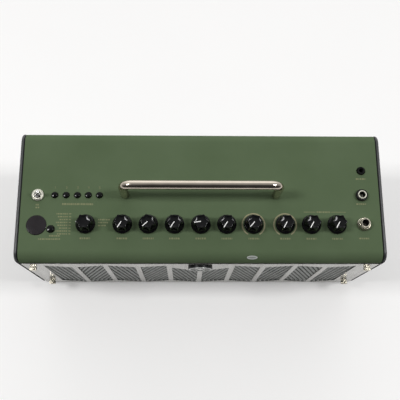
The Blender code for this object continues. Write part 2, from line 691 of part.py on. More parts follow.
def make_control_board():
    """Circuit board under the top face with the potentiometers and switches soldered to it."""
    top = CONTROL_BOARD_TOP
    low = top - CONTROL_BOARD_SHEET
    shape = bmesh.new()
    add_box(shape, (-0.1700, KNOB_Y - 0.0130, low), (0.1450, BODY_Y + 0.0080, top))
    board = add_object("control_board", shape, BOARD_GREEN)

    pot_top = COVER_INNER_Z - 0.0008
    shaft_bore = SHAFT_RADIUS + CLEARANCE
    shaft_end = TOP_Z - SHAFT_DEPTH - 0.0004
    parts = bmesh.new()
    for _, x, _ in KNOBS:
        profile = ((0.0075, top - 0.0006), (0.0075, pot_top), (shaft_bore, pot_top), (shaft_bore, shaft_end))
        add_turned(parts, profile, place=Matrix.Translation((x, KNOB_Y, 0)))
    switch_top = COVER_INNER_Z - CLEARANCE - 0.0021 - 0.0014
    for x, y in [(x, BUTTON_Y) for x in BUTTON_X] + [(TAP_X, TAP_Y)]:
        add_box(parts, (x - 0.0028, y - 0.0028, top - 0.0006), (x + 0.0028, y + 0.0028, switch_top))
    add_box(parts, (TUNER_X - 0.0080, TUNER_Y - 0.0070, top - 0.0006),
            (TUNER_X + 0.0080, TUNER_Y + 0.0070, top + 0.0065))
    add_box(parts, (0.020, BODY_Y - 0.004, low - 0.006), (0.060, BODY_Y + 0.004, low + 0.0006))
    boolean(board, add_object("board_parts", parts), "UNION")
    notch = boxes("toggle_notch", [((TOGGLE_X - 0.0080, TOGGLE_Y - 0.0055, low - 0.002),
                                    (TOGGLE_X + 0.0080, TOGGLE_Y + 0.0055, top + 0.002))])
    boolean(board, notch, "DIFFERENCE")


def make_baffle():
    """Board behind the grille with the speaker openings and the screw holes."""
    back = BAFFLE_FRONT + BAFFLE_SHEET
    shape = bmesh.new()
    add_box(shape, (-BAFFLE_HALF, BAFFLE_FRONT, BAFFLE_BOTTOM), (BAFFLE_HALF, back, BAFFLE_TOP))
    baffle = add_object("speaker_baffle", shape, BAFFLE_BOARD)
    cutter = bmesh.new()
    holes = [(x, SPEAKER_Z, SPEAKER_OPENING) for x in (-SPEAKER_X, SPEAKER_X)]
    holes += [(x, z, 0.0016) for x in (-SCREW_X, SCREW_X) for z in SCREW_HEIGHTS]
    for x, z, radius in holes:
        place = Matrix.Translation((x, BAFFLE_FRONT - 0.002, z)) @ Matrix.Rotation(-math.pi / 2, 4, "X")
        add_turned(cutter, ((radius, 0.0), (radius, BAFFLE_SHEET + 0.004)), place=place)
    boolean(baffle, add_object("baffle_openings", cutter), "DIFFERENCE")


def make_speakers():
    """Two small full-range speakers: frame with magnet, and the cone that moves in it."""
    face = BAFFLE_FRONT + BAFFLE_SHEET + CLEARANCE
    frame = (
        (0.0110, 0.0250), (0.0160, 0.0220), (0.0335, 0.0030), (0.0340, 0.0),
        (SPEAKER_FLANGE, 0.0), (SPEAKER_FLANGE, 0.0026), (0.0370, 0.0030), (0.0215, 0.0215),
        (0.0235, 0.0220), (0.0235, 0.0350), (0.0200, 0.0360),
    )
    cone = (
        (0.0070, 0.0140), (0.0088, 0.0160), (0.0305, 0.0024), (0.0311, 0.0032),
        (0.0096, 0.0175), (0.0088, 0.0210), (0.0080, 0.0210),
    )
    for side, x in (("left", -SPEAKER_X), ("right", SPEAKER_X)):
        turned(f"speaker_frame_{side}", frame, SPEAKER_STEEL, (x, face, SPEAKER_Z), axis="+Y")
        turned(f"speaker_cone_{side}", cone, PAPER, (x, face, SPEAKER_Z), axis="+Y")


def make_battery_box():
    """Tray for eight cells in four troughs, open to the battery door."""
    low = FOOT_HEIGHT + 0.0022
    half_x, half_y = BATTERY_LENGTH / 2, BATTERY_WIDTH / 2
    shape = bmesh.new()
    add_box(shape, (BATTERY_X - half_x, BATTERY_Y - half_y, low),
            (BATTERY_X + half_x, BATTERY_Y + half_y, low + BATTERY_HEIGHT))
    tray = add_object("battery_box", shape, CAP_PLASTIC)
    trough = 0.0146
    pitch = trough + 0.0010
    cells = []
    for i in range(4):
        y = BATTERY_Y + (i - 1.5) * pitch
        cells.append(((BATTERY_X - half_x + 0.0015, y - trough / 2, low - 0.002),
                      (BATTERY_X + half_x - 0.0015, y + trough / 2, low + BATTERY_HEIGHT - 0.0015)))
    boolean(tray, boxes("battery_troughs", cells), "DIFFERENCE")


def make_main_board():
    """Upright circuit board with its larger components, as one soldered piece."""
    sheet = 0.0016
    shape = bmesh.new()
    add_box(shape, (-0.1200, MAIN_BOARD_Y, 0.0340), (0.1200, MAIN_BOARD_Y + sheet, 0.1160))
    board = add_object("main_board", shape, BOARD_GREEN)
    front = MAIN_BOARD_Y - 0.0140
    inner = MAIN_BOARD_Y + 0.0006
    parts = bmesh.new()
    add_box(parts, (-0.0300, front, 0.0700), (0.0300, inner, 0.0730))
    for x in (-0.0900, -0.0740, -0.0580):
        place = Matrix.Translation((x, inner, 0.0900)) @ Matrix.Rotation(math.pi / 2, 4, "X")
        add_turned(parts, ((0.0065, 0.0), (0.0065, 0.0160)), place=place)
    for x, z, half in ((0.0560, 0.0900, 0.0100), (0.0850, 0.0950, 0.0070), (-0.0700, 0.0550, 0.0120)):
        add_box(parts, (x - half, MAIN_BOARD_Y - 0.0025, z - half), (x + half, inner, z + half))
    boolean(board, add_object("main_board_parts", parts), "UNION")
    fins = bmesh.new()
    for i in range(7):
        x = -0.0270 + i * 0.0090
        add_box(fins, (x - 0.0010, front + 0.0010, 0.0720), (x + 0.0010, inner, 0.0950))
    boolean(board, add_object("heat_sink_fins", fins), "UNION")


def make_rear_inlets():
    """Power inlet with its centre pin and a square data socket with its tongue."""
    near = MAIN_BOARD_Y + 0.0016 + CLEARANCE
    length = REAR_PANEL_INNER + REAR_SHEET - 0.0001 - near
    inlet = (
        (0.0054, 0.0), (0.0054, length), (0.0031, length), (0.0031, length - 0.0100),
        (0.0010, length - 0.0100), (0.0010, length - 0.0010),
    )
    turned("dc_jack", inlet, BLACK_PLASTIC, (DC_X, near, REAR_INLET_Z), axis="+Y")

    far = near + length
    shape = bmesh.new()
    add_box(shape, (USB_X - 0.0062, near, REAR_INLET_Z - 0.0056),
            (USB_X + 0.0062, far, REAR_INLET_Z + 0.0056))
    socket = add_object("usb_jack", shape, CHROME)
    mouth = boxes("usb_mouth", [((USB_X - 0.0045, far - 0.0100, REAR_INLET_Z - 0.0040),
                                 (USB_X + 0.0045, far + 0.001, REAR_INLET_Z + 0.0040))])
    tongue = boxes("usb_tongue", [((USB_X - 0.0030, far - 0.0110, REAR_INLET_Z - 0.0015),
                                   (USB_X + 0.0030, far - 0.0010, REAR_INLET_Z + 0.0015))])
    boolean(socket, mouth, "DIFFERENCE")
    boolean(socket, tongue, "UNION")


for existing in list(bpy.data.objects):
    bpy.data.objects.remove(existing)

make_wrap_cover()
make_side_cap("side_cap_left", -1)
make_side_cap("side_cap_right", 1)
make_front_panel()
make_grille_mesh()
make_thumbscrews()
make_front_badge()
make_label_plate()
make_rear_panel()
make_bottom_plate()
make_feet()
make_handle()
make_knobs()
make_buttons()
make_tuner_window()
make_power_toggle()
make_sockets()
make_control_board()
make_baffle()
make_speakers()
make_battery_box()
make_main_board()
make_rear_inlets()
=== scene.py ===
"""Looks of the small guitar amplifier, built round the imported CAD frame.

Metres, +Z up. The front faces -Y and +X is to the right seen from the front. Every place and size
is worked out from the frame's boxes and joints. Object coordinates of the materials are metres too.
"""
import json
import math

import bmesh
import bpy
from mathutils import Matrix, Vector

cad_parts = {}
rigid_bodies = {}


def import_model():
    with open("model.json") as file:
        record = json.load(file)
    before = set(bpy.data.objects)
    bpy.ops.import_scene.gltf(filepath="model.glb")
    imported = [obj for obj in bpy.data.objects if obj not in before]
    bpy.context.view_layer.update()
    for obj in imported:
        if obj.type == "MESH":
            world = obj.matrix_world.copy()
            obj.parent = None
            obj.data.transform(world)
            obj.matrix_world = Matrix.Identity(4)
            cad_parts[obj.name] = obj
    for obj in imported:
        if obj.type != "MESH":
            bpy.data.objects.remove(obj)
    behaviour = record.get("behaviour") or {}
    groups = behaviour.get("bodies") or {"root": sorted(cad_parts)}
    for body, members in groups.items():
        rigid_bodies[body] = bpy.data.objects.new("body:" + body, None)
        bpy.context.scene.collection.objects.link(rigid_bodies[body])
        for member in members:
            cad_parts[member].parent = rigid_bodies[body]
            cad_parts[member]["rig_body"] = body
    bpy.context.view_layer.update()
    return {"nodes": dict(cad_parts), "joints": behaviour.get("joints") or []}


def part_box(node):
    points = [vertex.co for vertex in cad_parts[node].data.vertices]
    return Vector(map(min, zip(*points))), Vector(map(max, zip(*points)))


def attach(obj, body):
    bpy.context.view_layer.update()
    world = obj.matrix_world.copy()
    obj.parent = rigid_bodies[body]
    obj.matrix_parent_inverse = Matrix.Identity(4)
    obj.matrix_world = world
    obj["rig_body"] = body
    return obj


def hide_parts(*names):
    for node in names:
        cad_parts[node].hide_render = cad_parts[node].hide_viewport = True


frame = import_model()
NODES = frame["nodes"]
JOINTS = {joint["child"]: joint for joint in frame["joints"]}
MM = 0.001


# Mesh helpers ---------------------------------------------------------------------------------

def centre_of(node):
    """Middle of a CAD node's box."""
    low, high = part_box(node)
    return (low + high) / 2


def round_part(node):
    """Box, outer radius and upright place of a node that is round about a vertical axis."""
    low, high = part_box(node)
    middle = (low + high) / 2
    return low, high, (high.x - low.x) / 2, Matrix.Translation((middle.x, middle.y, 0))


def facing_front(middle, y):
    """Place of a part that is turned about an axis towards the front."""
    return Matrix.Translation((middle.x, y, middle.z)) @ Matrix.Rotation(math.pi / 2, 4, "X")


def add_loft(shape, loops, closed=False):
    """Bridge loops with equal counts; an open loft is capped at both ends."""
    rings = [[shape.verts.new(point) for point in loop] for loop in loops]
    pairs = list(zip(rings, rings[1:]))
    if closed:
        pairs.append((rings[-1], rings[0]))
    else:
        shape.faces.new(rings[0])
        shape.faces.new(rings[-1])
    count = len(rings[0])
    for low, high in pairs:
        for i in range(count):
            j = (i + 1) % count
            shape.faces.new((low[i], low[j], high[j], high[i]))


def fillet(points, radius, steps=3, closed=False):
    """Round the corners of an outline in two coordinates."""
    rounded = []
    count = len(points)
    for i, point in enumerate(points):
        here = Vector(point)
        if not closed and i in (0, count - 1):
            rounded.append(here)
            continue
        before = Vector(points[i - 1]) - here
        after = Vector(points[(i + 1) % count]) - here
        reach = min(radius, before.length * 0.45, after.length * 0.45)
        start = here + before.normalized() * reach
        end = here + after.normalized() * reach
        for k in range(steps + 1):
            t = k / steps
            rounded.append(start.lerp(here, t).lerp(here.lerp(end, t), t))
    return rounded


def rounded_box(left, low, right, high, radius, steps=4):
    """Outline of a rectangle with rounded corners."""
    corners = [(left, low), (right, low), (right, high), (left, high)]
    return fillet(corners, radius, steps, closed=True)


def ring(radius, height, segments):
    """Points of a circle round Z."""
    return [Vector((radius * math.cos(a), radius * math.sin(a), height))
            for a in (math.tau * i / segments for i in range(segments))]


def add_turned(shape, profile, segments=48, closed=False, place=None):
    """Turn a (radius, height) profile about the Z axis of the matrix place."""
    place = place or Matrix.Identity(4)
    add_loft(shape, [[place @ p for p in ring(r, h, segments)] for r, h in profile], closed)


def add_box(shape, low, high):
    """A box between two corners."""
    loops = []
    for z in (low[2], high[2]):
        loops.append([Vector((low[0], low[1], z)), Vector((high[0], low[1], z)),
                      Vector((high[0], high[1], z)), Vector((low[0], high[1], z))])
    add_loft(shape, loops)


def add_prism(shape, outline, start, end, axis="Y"):
    """Extrude an outline: (x, z) points along Y, (x, y) along Z, (y, z) along X."""
    loops = []
    for depth in (start, end):
        if axis == "Y":
            loops.append([Vector((a, depth, b)) for a, b in outline])
        elif axis == "Z":
            loops.append([Vector((a, b, depth)) for a, b in outline])
        else:
            loops.append([Vector((depth, a, b)) for a, b in outline])
    add_loft(shape, loops)


def to_object(name, shape, surface=None, smooth=32):
    """Make an object from a bmesh, facing out, with edges over the smooth angle sharp."""
    bmesh.ops.recalc_face_normals(shape, faces=shape.faces)
    mesh = bpy.data.meshes.new(name)
    shape.to_mesh(mesh)
    shape.free()
    mesh.shade_smooth()
    mesh.set_sharp_from_angle(angle=math.radians(smooth))
    made = bpy.data.objects.new(name, mesh)
    bpy.context.scene.collection.objects.link(made)
    if surface:
        mesh.materials.append(surface)
    return made


def cut(target, cutter):
    """Cut with another object, apply it and delete the cutter."""
    modifier = target.modifiers.new("Cut", "BOOLEAN")
    modifier.operation = "DIFFERENCE"
    modifier.object = cutter
    modifier.solver = "EXACT"
    apply_modifiers(target)
    bpy.data.objects.remove(cutter)


def round_edges(target, width):
    """Bevel every sharp edge, with normals that keep the flat faces flat."""
    bevel = target.modifiers.new("Round", "BEVEL")
    bevel.width = width
    bevel.segments = 2
    bevel.limit_method = "ANGLE"
    bevel.angle_limit = math.radians(35)
    bevel.use_clamp_overlap = True
    weighted = target.modifiers.new("Even", "WEIGHTED_NORMAL")
    weighted.weight = 100
    weighted.keep_sharp = True
    apply_modifiers(target, None)


def apply_modifiers(target, smooth=32):
    """Bake the modifiers into the object's own mesh; a smooth angle of None keeps its normals."""
    graph = bpy.context.evaluated_depsgraph_get()
    baked = bpy.data.meshes.new_from_object(target.evaluated_get(graph))
    old = target.data
    target.modifiers.clear()
    target.data = baked
    bpy.data.meshes.remove(old)
    baked.name = target.name
    if smooth is not None:
        baked.shade_smooth()
        baked.set_sharp_from_angle(angle=math.radians(smooth))


def turned(name, surface, profile, segments, place, closed=False):
    """A turned object of its own."""
    shape = bmesh.new()
    add_turned(shape, profile, segments, closed, place)
    return to_object(name, shape, surface)


def trim(piece, body, slot):
    """A detail piece that stands for no node of its own."""
    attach(piece, body)


def stand_for(piece, node, slot):
    """Let a piece ride on its node's body and replace the node."""
    trim(piece, NODES[node]["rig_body"], slot)
    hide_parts(node)


# Materials ------------------------------------------------------------------------------------

def make_material(name, colour, roughness, metallic=0.0, blotch=0.06, blotch_scale=45.0,
                  rough_spread=0.06, rough_scale=220.0, grain=0.0, grain_scale=2600.0,
                  brushed=None, second=None, specular=0.5, speckle=0.0):
    """Principled material with blotches of colour, uneven roughness and a bump grain.

    brushed stretches the grain along an axis; second is the colour that the blotches lead to;
    speckle adds fine lighter dust.
    """
    made = bpy.data.materials.new(name)
    made.use_nodes = True
    nodes, links = made.node_tree.nodes, made.node_tree.links
    shader = nodes["Principled BSDF"]
    shader.inputs["Metallic"].default_value = metallic
    shader.inputs["Specular IOR Level"].default_value = specular
    coords = nodes.new("ShaderNodeTexCoord")
    vector = coords.outputs["Object"]

    def noise(scale, detail=3.0, source=vector):
        texture = nodes.new("ShaderNodeTexNoise")
        texture.inputs["Scale"].default_value = scale
        texture.inputs["Detail"].default_value = detail
        texture.inputs["Roughness"].default_value = 0.55
        links.new(source, texture.inputs["Vector"])
        return texture.outputs["Fac"]

    def ranged(source, low, high, out_low, out_high):
        node = nodes.new("ShaderNodeMapRange")
        node.inputs["From Min"].default_value = low
        node.inputs["From Max"].default_value = high
        node.inputs["To Min"].default_value = out_low
        node.inputs["To Max"].default_value = out_high
        links.new(source, node.inputs["Value"])
        return node.outputs["Result"]

    def mixed(factor, first, last):
        node = nodes.new("ShaderNodeMix")
        node.data_type = "RGBA"
        links.new(factor, node.inputs["Factor"])
        for socket, value in ((node.inputs[6], first), (node.inputs[7], last)):
            if isinstance(value, tuple):
                socket.default_value = (*value, 1.0)
            else:
                links.new(value, socket)
        return node.outputs[2]

    darker = tuple(c * (1 - blotch) for c in colour)
    lighter = second or tuple(min(1.0, c * (1 + blotch) + 0.002) for c in colour)
    paint = mixed(ranged(noise(blotch_scale, 4.0), 0.32, 0.68, 0.0, 1.0), darker, lighter)
    if speckle:
        dust = ranged(noise(grain_scale * 0.35, 2.0), 0.70, 0.80, 0.0, speckle)
        paint = mixed(dust, paint, tuple(min(1.0, c * 1.8 + 0.02) for c in colour))
    links.new(paint, shader.inputs["Base Color"])

    rough_source = vector
    if brushed:
        mapping = nodes.new("ShaderNodeMapping")
        mapping.inputs["Scale"].default_value = brushed
        links.new(vector, mapping.inputs["Vector"])
        rough_source = mapping.outputs["Vector"]
    rough = ranged(noise(rough_scale, 5.0, rough_source), 0.3, 0.7,
                   max(0.02, roughness - rough_spread), roughness + rough_spread)
    links.new(rough, shader.inputs["Roughness"])
    if grain:
        bump = nodes.new("ShaderNodeBump")
        bump.inputs["Strength"].default_value = 1.0
        bump.inputs["Distance"].default_value = grain
        links.new(noise(grain_scale, 2.0, rough_source), bump.inputs["Height"])
        links.new(bump.outputs["Normal"], shader.inputs["Normal"])
    made.diffuse_color = (*colour, 1.0)
    return made


GREEN = make_material("olive_paint", (0.090, 0.127, 0.068), 0.60, blotch_scale=14,
                      second=(0.097, 0.134, 0.075), rough_spread=0.05, rough_scale=90,
                      grain=0.000012, grain_scale=2400, speckle=0.10, specular=0.005)
CAP = make_material("cap_plastic_grained", (0.014, 0.015, 0.017), 0.47, blotch=0.10,
                    grain=0.00002, grain_scale=3200, speckle=0.05, specular=0.85)
# Near-black, nearly unreflecting plastic for the caps' front faces: painted shade standing for the dark gap
# beside the front plate.
CAP_PAINTED_SHADE = make_material("cap_front_painted_shade", (0.005, 0.005, 0.006), 0.75, blotch=0.10,
                         grain=0.00003, specular=0.02)
PANEL = make_material("panel_satin", (0.378, 0.372, 0.350), 0.26, 0.80, blotch=0.05, blotch_scale=30,
                      rough_scale=160, grain=0.000008, grain_scale=1500, brushed=(1.0, 1.0, 0.06))
MESH = make_material("mesh_steel", (0.128, 0.139, 0.128), 0.38, 0.85, blotch=0.12, blotch_scale=260,
                     rough_spread=0.10, grain=0.00001, grain_scale=2200)
KNOB = make_material("knob_plastic", (0.0025, 0.0025, 0.003), 0.12, blotch=0.20, blotch_scale=160,
                     rough_spread=0.05, rough_scale=420, grain=0.000003, grain_scale=1400,
                     specular=0.22)
NICKEL = make_material("warm_nickel", (0.61, 0.57, 0.47), 0.21, 1.0, blotch=0.05, blotch_scale=120,
                       rough_scale=900, grain=0.000002, grain_scale=1800, brushed=(0.15, 1.0, 1.0))
CHROME = make_material("polished_chrome", (0.80, 0.79, 0.77), 0.09, 1.0, blotch=0.03,
                       blotch_scale=300, rough_spread=0.04, rough_scale=1200, grain=0.000001,
                       grain_scale=1500)
BADGE_METAL = make_material("badge_metal", (0.60, 0.61, 0.59), 0.36, 0.85, blotch=0.05, blotch_scale=300,
                            rough_spread=0.05, rough_scale=900, grain=0.000001, grain_scale=1500)
HANDLE_NICKEL = make_material("handle_nickel", (0.60, 0.53, 0.45), 0.15, 1.0, blotch_scale=90,
                              rough_scale=700, grain=0.000002, grain_scale=1500,
                              brushed=(0.08, 1.0, 1.0))
SATIN_NICKEL = make_material("satin_nickel", (0.66, 0.65, 0.56), 0.42, 0.75, blotch=0.05,
                             blotch_scale=160, rough_scale=900, grain=0.000002, grain_scale=1800)
BLACK_METAL = make_material("black_plating", (0.006, 0.006, 0.006), 0.32, blotch=0.2,
                            blotch_scale=200, rough_spread=0.08, grain=0.000003, specular=0.25)
ENAMEL = make_material("black_enamel", (0.006, 0.007, 0.007), 0.34, blotch=0.2, rough_spread=0.03,
                       grain=0.000001, grain_scale=700, specular=0.20)
LABEL = make_material("label_silver", (0.58, 0.60, 0.58), 0.38, 0.35, blotch=0.04, rough_spread=0.05,
                      grain=0.000003, brushed=(0.05, 1.0, 1.0))
LABEL_DARK = make_material("label_field", (0.30, 0.32, 0.30), 0.45, 0.3, blotch=0.08,
                           rough_spread=0.05, grain=0.000003)
ACRYLIC = make_material("smoked_acrylic", (0.011, 0.008, 0.010), 0.16, blotch=0.15, blotch_scale=90,
                        rough_spread=0.03, rough_scale=500, grain=0.000001, grain_scale=500,
                        specular=0.40)
RUBBER = make_material("foot_rubber", (0.014, 0.014, 0.014), 0.82, blotch=0.25, blotch_scale=300,
                       rough_spread=0.08, grain=0.00005, grain_scale=1800)
BLACK_STEEL = make_material("black_powder_coat", (0.016, 0.017, 0.018), 0.55, blotch=0.12,
                            rough_spread=0.08, grain=0.00004, speckle=0.04)
PRINT = make_material("legend_ink", (0.190, 0.200, 0.105), 0.6, blotch=0.12, blotch_scale=600,
                      grain=0.000004, specular=0.2)
ACCENT_PRINT = make_material("accent_ink", (0.270, 0.245, 0.150), 0.6, blotch=0.12, blotch_scale=600,
                             grain=0.000004, specular=0.2)
WHITE_INK = make_material("pointer_ink", (0.88, 0.88, 0.86), 0.40, blotch=0.05, blotch_scale=700,
                          rough_spread=0.05, grain=0.000004)
BOARD = make_material("solder_mask", (0.012, 0.080, 0.030), 0.35, blotch=0.2, blotch_scale=250,
                      rough_spread=0.08, grain=0.00001, grain_scale=900)
FIBREBOARD = make_material("painted_fibreboard", (0.020, 0.019, 0.018), 0.80, blotch=0.25,
                           blotch_scale=200, rough_spread=0.10, grain=0.00008, grain_scale=900)
CONE = make_material("pressed_paper", (0.022, 0.021, 0.020), 0.85, blotch=0.3, blotch_scale=400,
                     rough_spread=0.08, grain=0.00008, grain_scale=1300)
BASKET = make_material("plated_basket", (0.22, 0.22, 0.23), 0.38, 0.8, blotch=0.10,
                       rough_spread=0.10, grain=0.00001)
CELL_TRAY = make_material("tray_plastic", (0.028, 0.028, 0.030), 0.55, blotch=0.15,
                          rough_spread=0.08, grain=0.00003, grain_scale=2400)
BORE_DARK = make_material("socket_plastic", (0.003, 0.003, 0.003), 0.60, blotch=0.3,
                          rough_spread=0.10, grain=0.00001, specular=0.10)

CARRIED_OVER = {
    "control_board": BOARD, "main_board": BOARD, "speaker_baffle": FIBREBOARD,
    "speaker_frame_left": BASKET, "speaker_frame_right": BASKET,
    "speaker_cone_left": CONE, "speaker_cone_right": CONE,
    "battery_box": CELL_TRAY, "handle_nut_left": CHROME, "handle_nut_right": CHROME,
    "dc_jack": BORE_DARK, "usb_jack": CHROME,
}


def dress_carried_over():
    """Give the CAD nodes that stay visible their procedural materials."""
    for node, surface in CARRIED_OVER.items():
        for slot in NODES[node].material_slots:
            slot.material = surface


# Enclosure ------------------------------------------------------------------------------------

COVER_LOW, COVER_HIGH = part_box("wrap_cover")
TOP = COVER_HIGH.z
CAP_LOW, CAP_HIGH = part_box("side_cap_left")
BEND_RADIUS = 10 * MM
COVER_SHEET = 1.4 * MM
UNDER_COVER = TOP - COVER_SHEET - 0.3 * MM      # where flanges and socket bodies stop


def arc(centre, radius, start, end, steps):
    """Points of an arc in a plane, angles in degrees."""
    points = []
    for i in range(steps + 1):
        angle = math.radians(start + (end - start) * i / steps)
        points.append((centre[0] + radius * math.cos(angle), centre[1] + radius * math.sin(angle)))
    return points


def hole_of(node, gap=0.3 * MM, radius=None):
    """Centre and radius of the cover hole round a node."""
    middle = centre_of(node)
    if radius is None:
        low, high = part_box(node)
        radius = (high.x - low.x) / 2
    return middle.x, middle.y, radius + gap


def make_cover():
    """Bent green cover with support lines beside its bends and every control hole."""
    front, rear, lip = COVER_LOW.y, COVER_HIGH.y, COVER_LOW.z
    steps, support = 14, 0.5 * MM
    outer = [(rear, lip), (rear, TOP - BEND_RADIUS - support)]
    outer += arc((rear - BEND_RADIUS, TOP - BEND_RADIUS), BEND_RADIUS, 0, 90, steps)
    outer += [(rear - BEND_RADIUS - support, TOP), (front + BEND_RADIUS + support, TOP)]
    outer += arc((front + BEND_RADIUS, TOP - BEND_RADIUS), BEND_RADIUS, 90, 180, steps)
    outer += [(front, TOP - BEND_RADIUS - support), (front, lip)]
    inside = BEND_RADIUS - COVER_SHEET
    inner = [(front + COVER_SHEET, lip)]
    inner += arc((front + BEND_RADIUS, TOP - BEND_RADIUS), inside, 180, 90, steps)
    inner += arc((rear - BEND_RADIUS, TOP - BEND_RADIUS), inside, 90, 0, steps)
    inner += [(rear - COVER_SHEET, lip)]
    shape = bmesh.new()
    add_prism(shape, outer + inner, COVER_LOW.x, COVER_HIGH.x, "X")
    cover = to_object("cover_shell", shape, GREEN)

    holes = [hole_of(knob, radius=3.3 * MM) for knob in KNOB_NODES]
    holes += [hole_of(button, gap=-0.3 * MM) for button in BUTTON_NODES]
    holes += [hole_of("tuner_window", gap=0.15 * MM), hole_of("toggle_lever", radius=3.1 * MM),
              hole_of("aux_jack", radius=4.0 * MM), hole_of("phones_jack", radius=4.2 * MM),
              hole_of("input_jack", radius=4.7 * MM)]
    low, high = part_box("handle")
    post = (high.y - low.y) / 2
    for x in (low.x + post, high.x - post):
        holes.append((x, (low.y + high.y) / 2, 3.2 * MM))
    cutter = bmesh.new()
    for x, y, radius in holes:
        place = Matrix.Translation((x, y, 0))
        add_turned(cutter, ((radius, TOP - 6 * MM), (radius, TOP + 6 * MM)), 48, place=place)
    cut(cover, to_object("cover_cutter", cutter))
    round_edges(cover, 0.22 * MM)
    stand_for(cover, "wrap_cover", "green_paint")


def side_outline(inset, top_radius, low_radius, steps):
    """Rounded side outline of an end cap, moved inwards by inset."""
    front, rear, low, high = CAP_LOW.y, CAP_HIGH.y, CAP_LOW.z, CAP_HIGH.z
    points = arc((rear - top_radius, high - top_radius), top_radius - inset, 0, 90, steps)
    points += arc((front + top_radius, high - top_radius), top_radius - inset, 90, 180, steps)
    points += arc((front + low_radius, low + low_radius), low_radius - inset, 180, 270, steps)
    points += arc((rear - low_radius, low + low_radius), low_radius - inset, 270, 360, steps)
    return points


def make_end_cap(node, side):
    """End cap with a rounded rim, a shallow sunk field outside and the ledge ring inside.

    Its front face, behind the edge of the front plate, is near-black and matt: painted shade for the dark
    gap line beside the front plate.
    """
    outer = abs(CAP_LOW.x)
    ledge = min(abs(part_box(node)[0].x), abs(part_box(node)[1].x))
    rim = outer - 3 * MM
    rounding, steps = 2.2 * MM, 6
    sunk = outer - 0.7 * MM
    stations = [(sunk, 5.2 * MM), (sunk, 4.4 * MM), (sunk + 0.25 * MM, 3.8 * MM), (outer, 3.2 * MM)]
    for i in range(steps + 1):
        turn = math.pi / 2 * i / steps
        stations.append((outer - rounding * (1 - math.cos(turn)), rounding * (1 - math.sin(turn))))
    stations += [(rim + 0.35 * MM, 0.0), (rim + 0.1 * MM, 0.1 * MM), (rim, 0.35 * MM),
                 (rim, 2.1 * MM), (ledge + 0.3 * MM, 2.1 * MM), (ledge, 2.4 * MM),
                 (ledge, 4.1 * MM), (rim + 0.6 * MM, 4.3 * MM)]
    shape = bmesh.new()
    loops = []
    for x, inset in stations:
        outline = side_outline(inset, BEND_RADIUS, 6 * MM, 10)
        loops.append([Vector((side * x, y, z)) for y, z in outline])
    add_loft(shape, loops)
    cap = to_object(f"end_cap_{'left' if side < 0 else 'right'}", shape, CAP)
    # Faces that face the front take the near-black material: painted shade for the gap line between cap and
    # front plate.
    cap.data.materials.append(CAP_PAINTED_SHADE)
    for face in cap.data.polygons:
        faces_front = face.normal.y < -0.9
        face.material_index = int(faces_front)
    stand_for(cap, node, "cap_plastic")


PANEL_LOW, PANEL_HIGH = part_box("front_panel")
BAR_COUNT = 9
BAR_PITCH = 31.6 * MM
BAR_WIDTH = 5.4 * MM
UPPER_HIGH = 24 * MM            # corners measured down from the top face: beside the odd bars
UPPER_LOW = 34 * MM             # beside the even bars
BADGE_OUTER = 37 * MM           # the two windows below the badge
BADGE_INNER = 57.5 * MM
LOWER_HIGH = 14 * MM            # corners measured up from the panel's lower edge
LOWER_LOW = 2.5 * MM
TOP_FACE = CAP_HIGH.z
STRAND_PITCH = 4.8 * MM
SHORTEST_STRAND = 1.5 * MM


def window_outline(index, grow=0.0):
    """The four corners of a grille window as (x, z), grown outwards by grow."""
    left_bar = index - (BAR_COUNT + 1) // 2
    under_badge = left_bar in (-1, 0)
    corners = []
    for bar, side in ((left_bar, 1), (left_bar + 1, -1)):
        even = bar % 2 == 0
        x = bar * BAR_PITCH + side * (BAR_WIDTH / 2 - grow)
        drop = UPPER_LOW if even else UPPER_HIGH
        if under_badge:
            drop = BADGE_INNER if bar == 0 else BADGE_OUTER
        lower = PANEL_LOW.z + (LOWER_LOW if even else LOWER_HIGH)
        corners.append((x, TOP_FACE - drop + grow, lower - grow))
    (left, left_up, left_low), (right, right_up, right_low) = corners
    return [(left, left_low), (right, right_low), (right, right_up), (left, left_up)]


def plate_outline(low, high, corner=5.5 * MM, upper=0.6 * MM):
    """Outline of the front or rear plate as (x, z), with rounded lower corners."""
    points = [(high.x - upper, high.z), (low.x + upper, high.z), (low.x, high.z - upper)]
    points += arc((low.x + corner, low.z + corner), corner, 180, 270, 8)
    points += arc((high.x - corner, low.z + corner), corner, 270, 360, 8)
    return points + [(high.x, high.z - upper)]


def make_front_panel():
    """Pale front plate with ten slanted windows, a little narrower than the ledge behind it."""
    front, back = PANEL_LOW.y, PANEL_LOW.y + 0.5 * MM
    through = 2 * MM
    side_gap = Vector((1.3 * MM, 0.0, 0.0))
    shape = bmesh.new()
    add_prism(shape, plate_outline(PANEL_LOW + side_gap, PANEL_HIGH - side_gap), front, back)
    panel = to_object("front_plate", shape, PANEL)
    cutter = bmesh.new()
    for index in range(BAR_COUNT + 1):
        rounded = fillet(window_outline(index), 0.9 * MM, 3, closed=True)
        add_prism(cutter, rounded, front - through, back + through)
    hole = 1.8 * MM
    for node in SCREW_NODES:
        place = facing_front(centre_of(node), front)
        add_turned(cutter, ((hole, -through), (hole, through)), 24, place=place)
    cut(panel, to_object("panel_cutter", cutter))
    round_edges(panel, 0.15 * MM)
    stand_for(panel, "front_panel", "panel_metal")


def add_strand(shape, start, end, width, rise, plane):
    """Flat wire with bevelled edges between two (x, z) points, raised towards the front."""
    start, end = Vector(start), Vector(end)
    along = (end - start).normalized()
    across = Vector((-along.y, along.x))
    section = ((-width / 2, 0.0), (-width * 0.28, rise), (width * 0.28, rise), (width / 2, 0.0))
    loops = []
    for point in (start, end):
        loops.append([Vector((point.x + across.x * side, plane - lift, point.y + across.y * side))
                      for side, lift in section])
    add_loft(shape, loops)


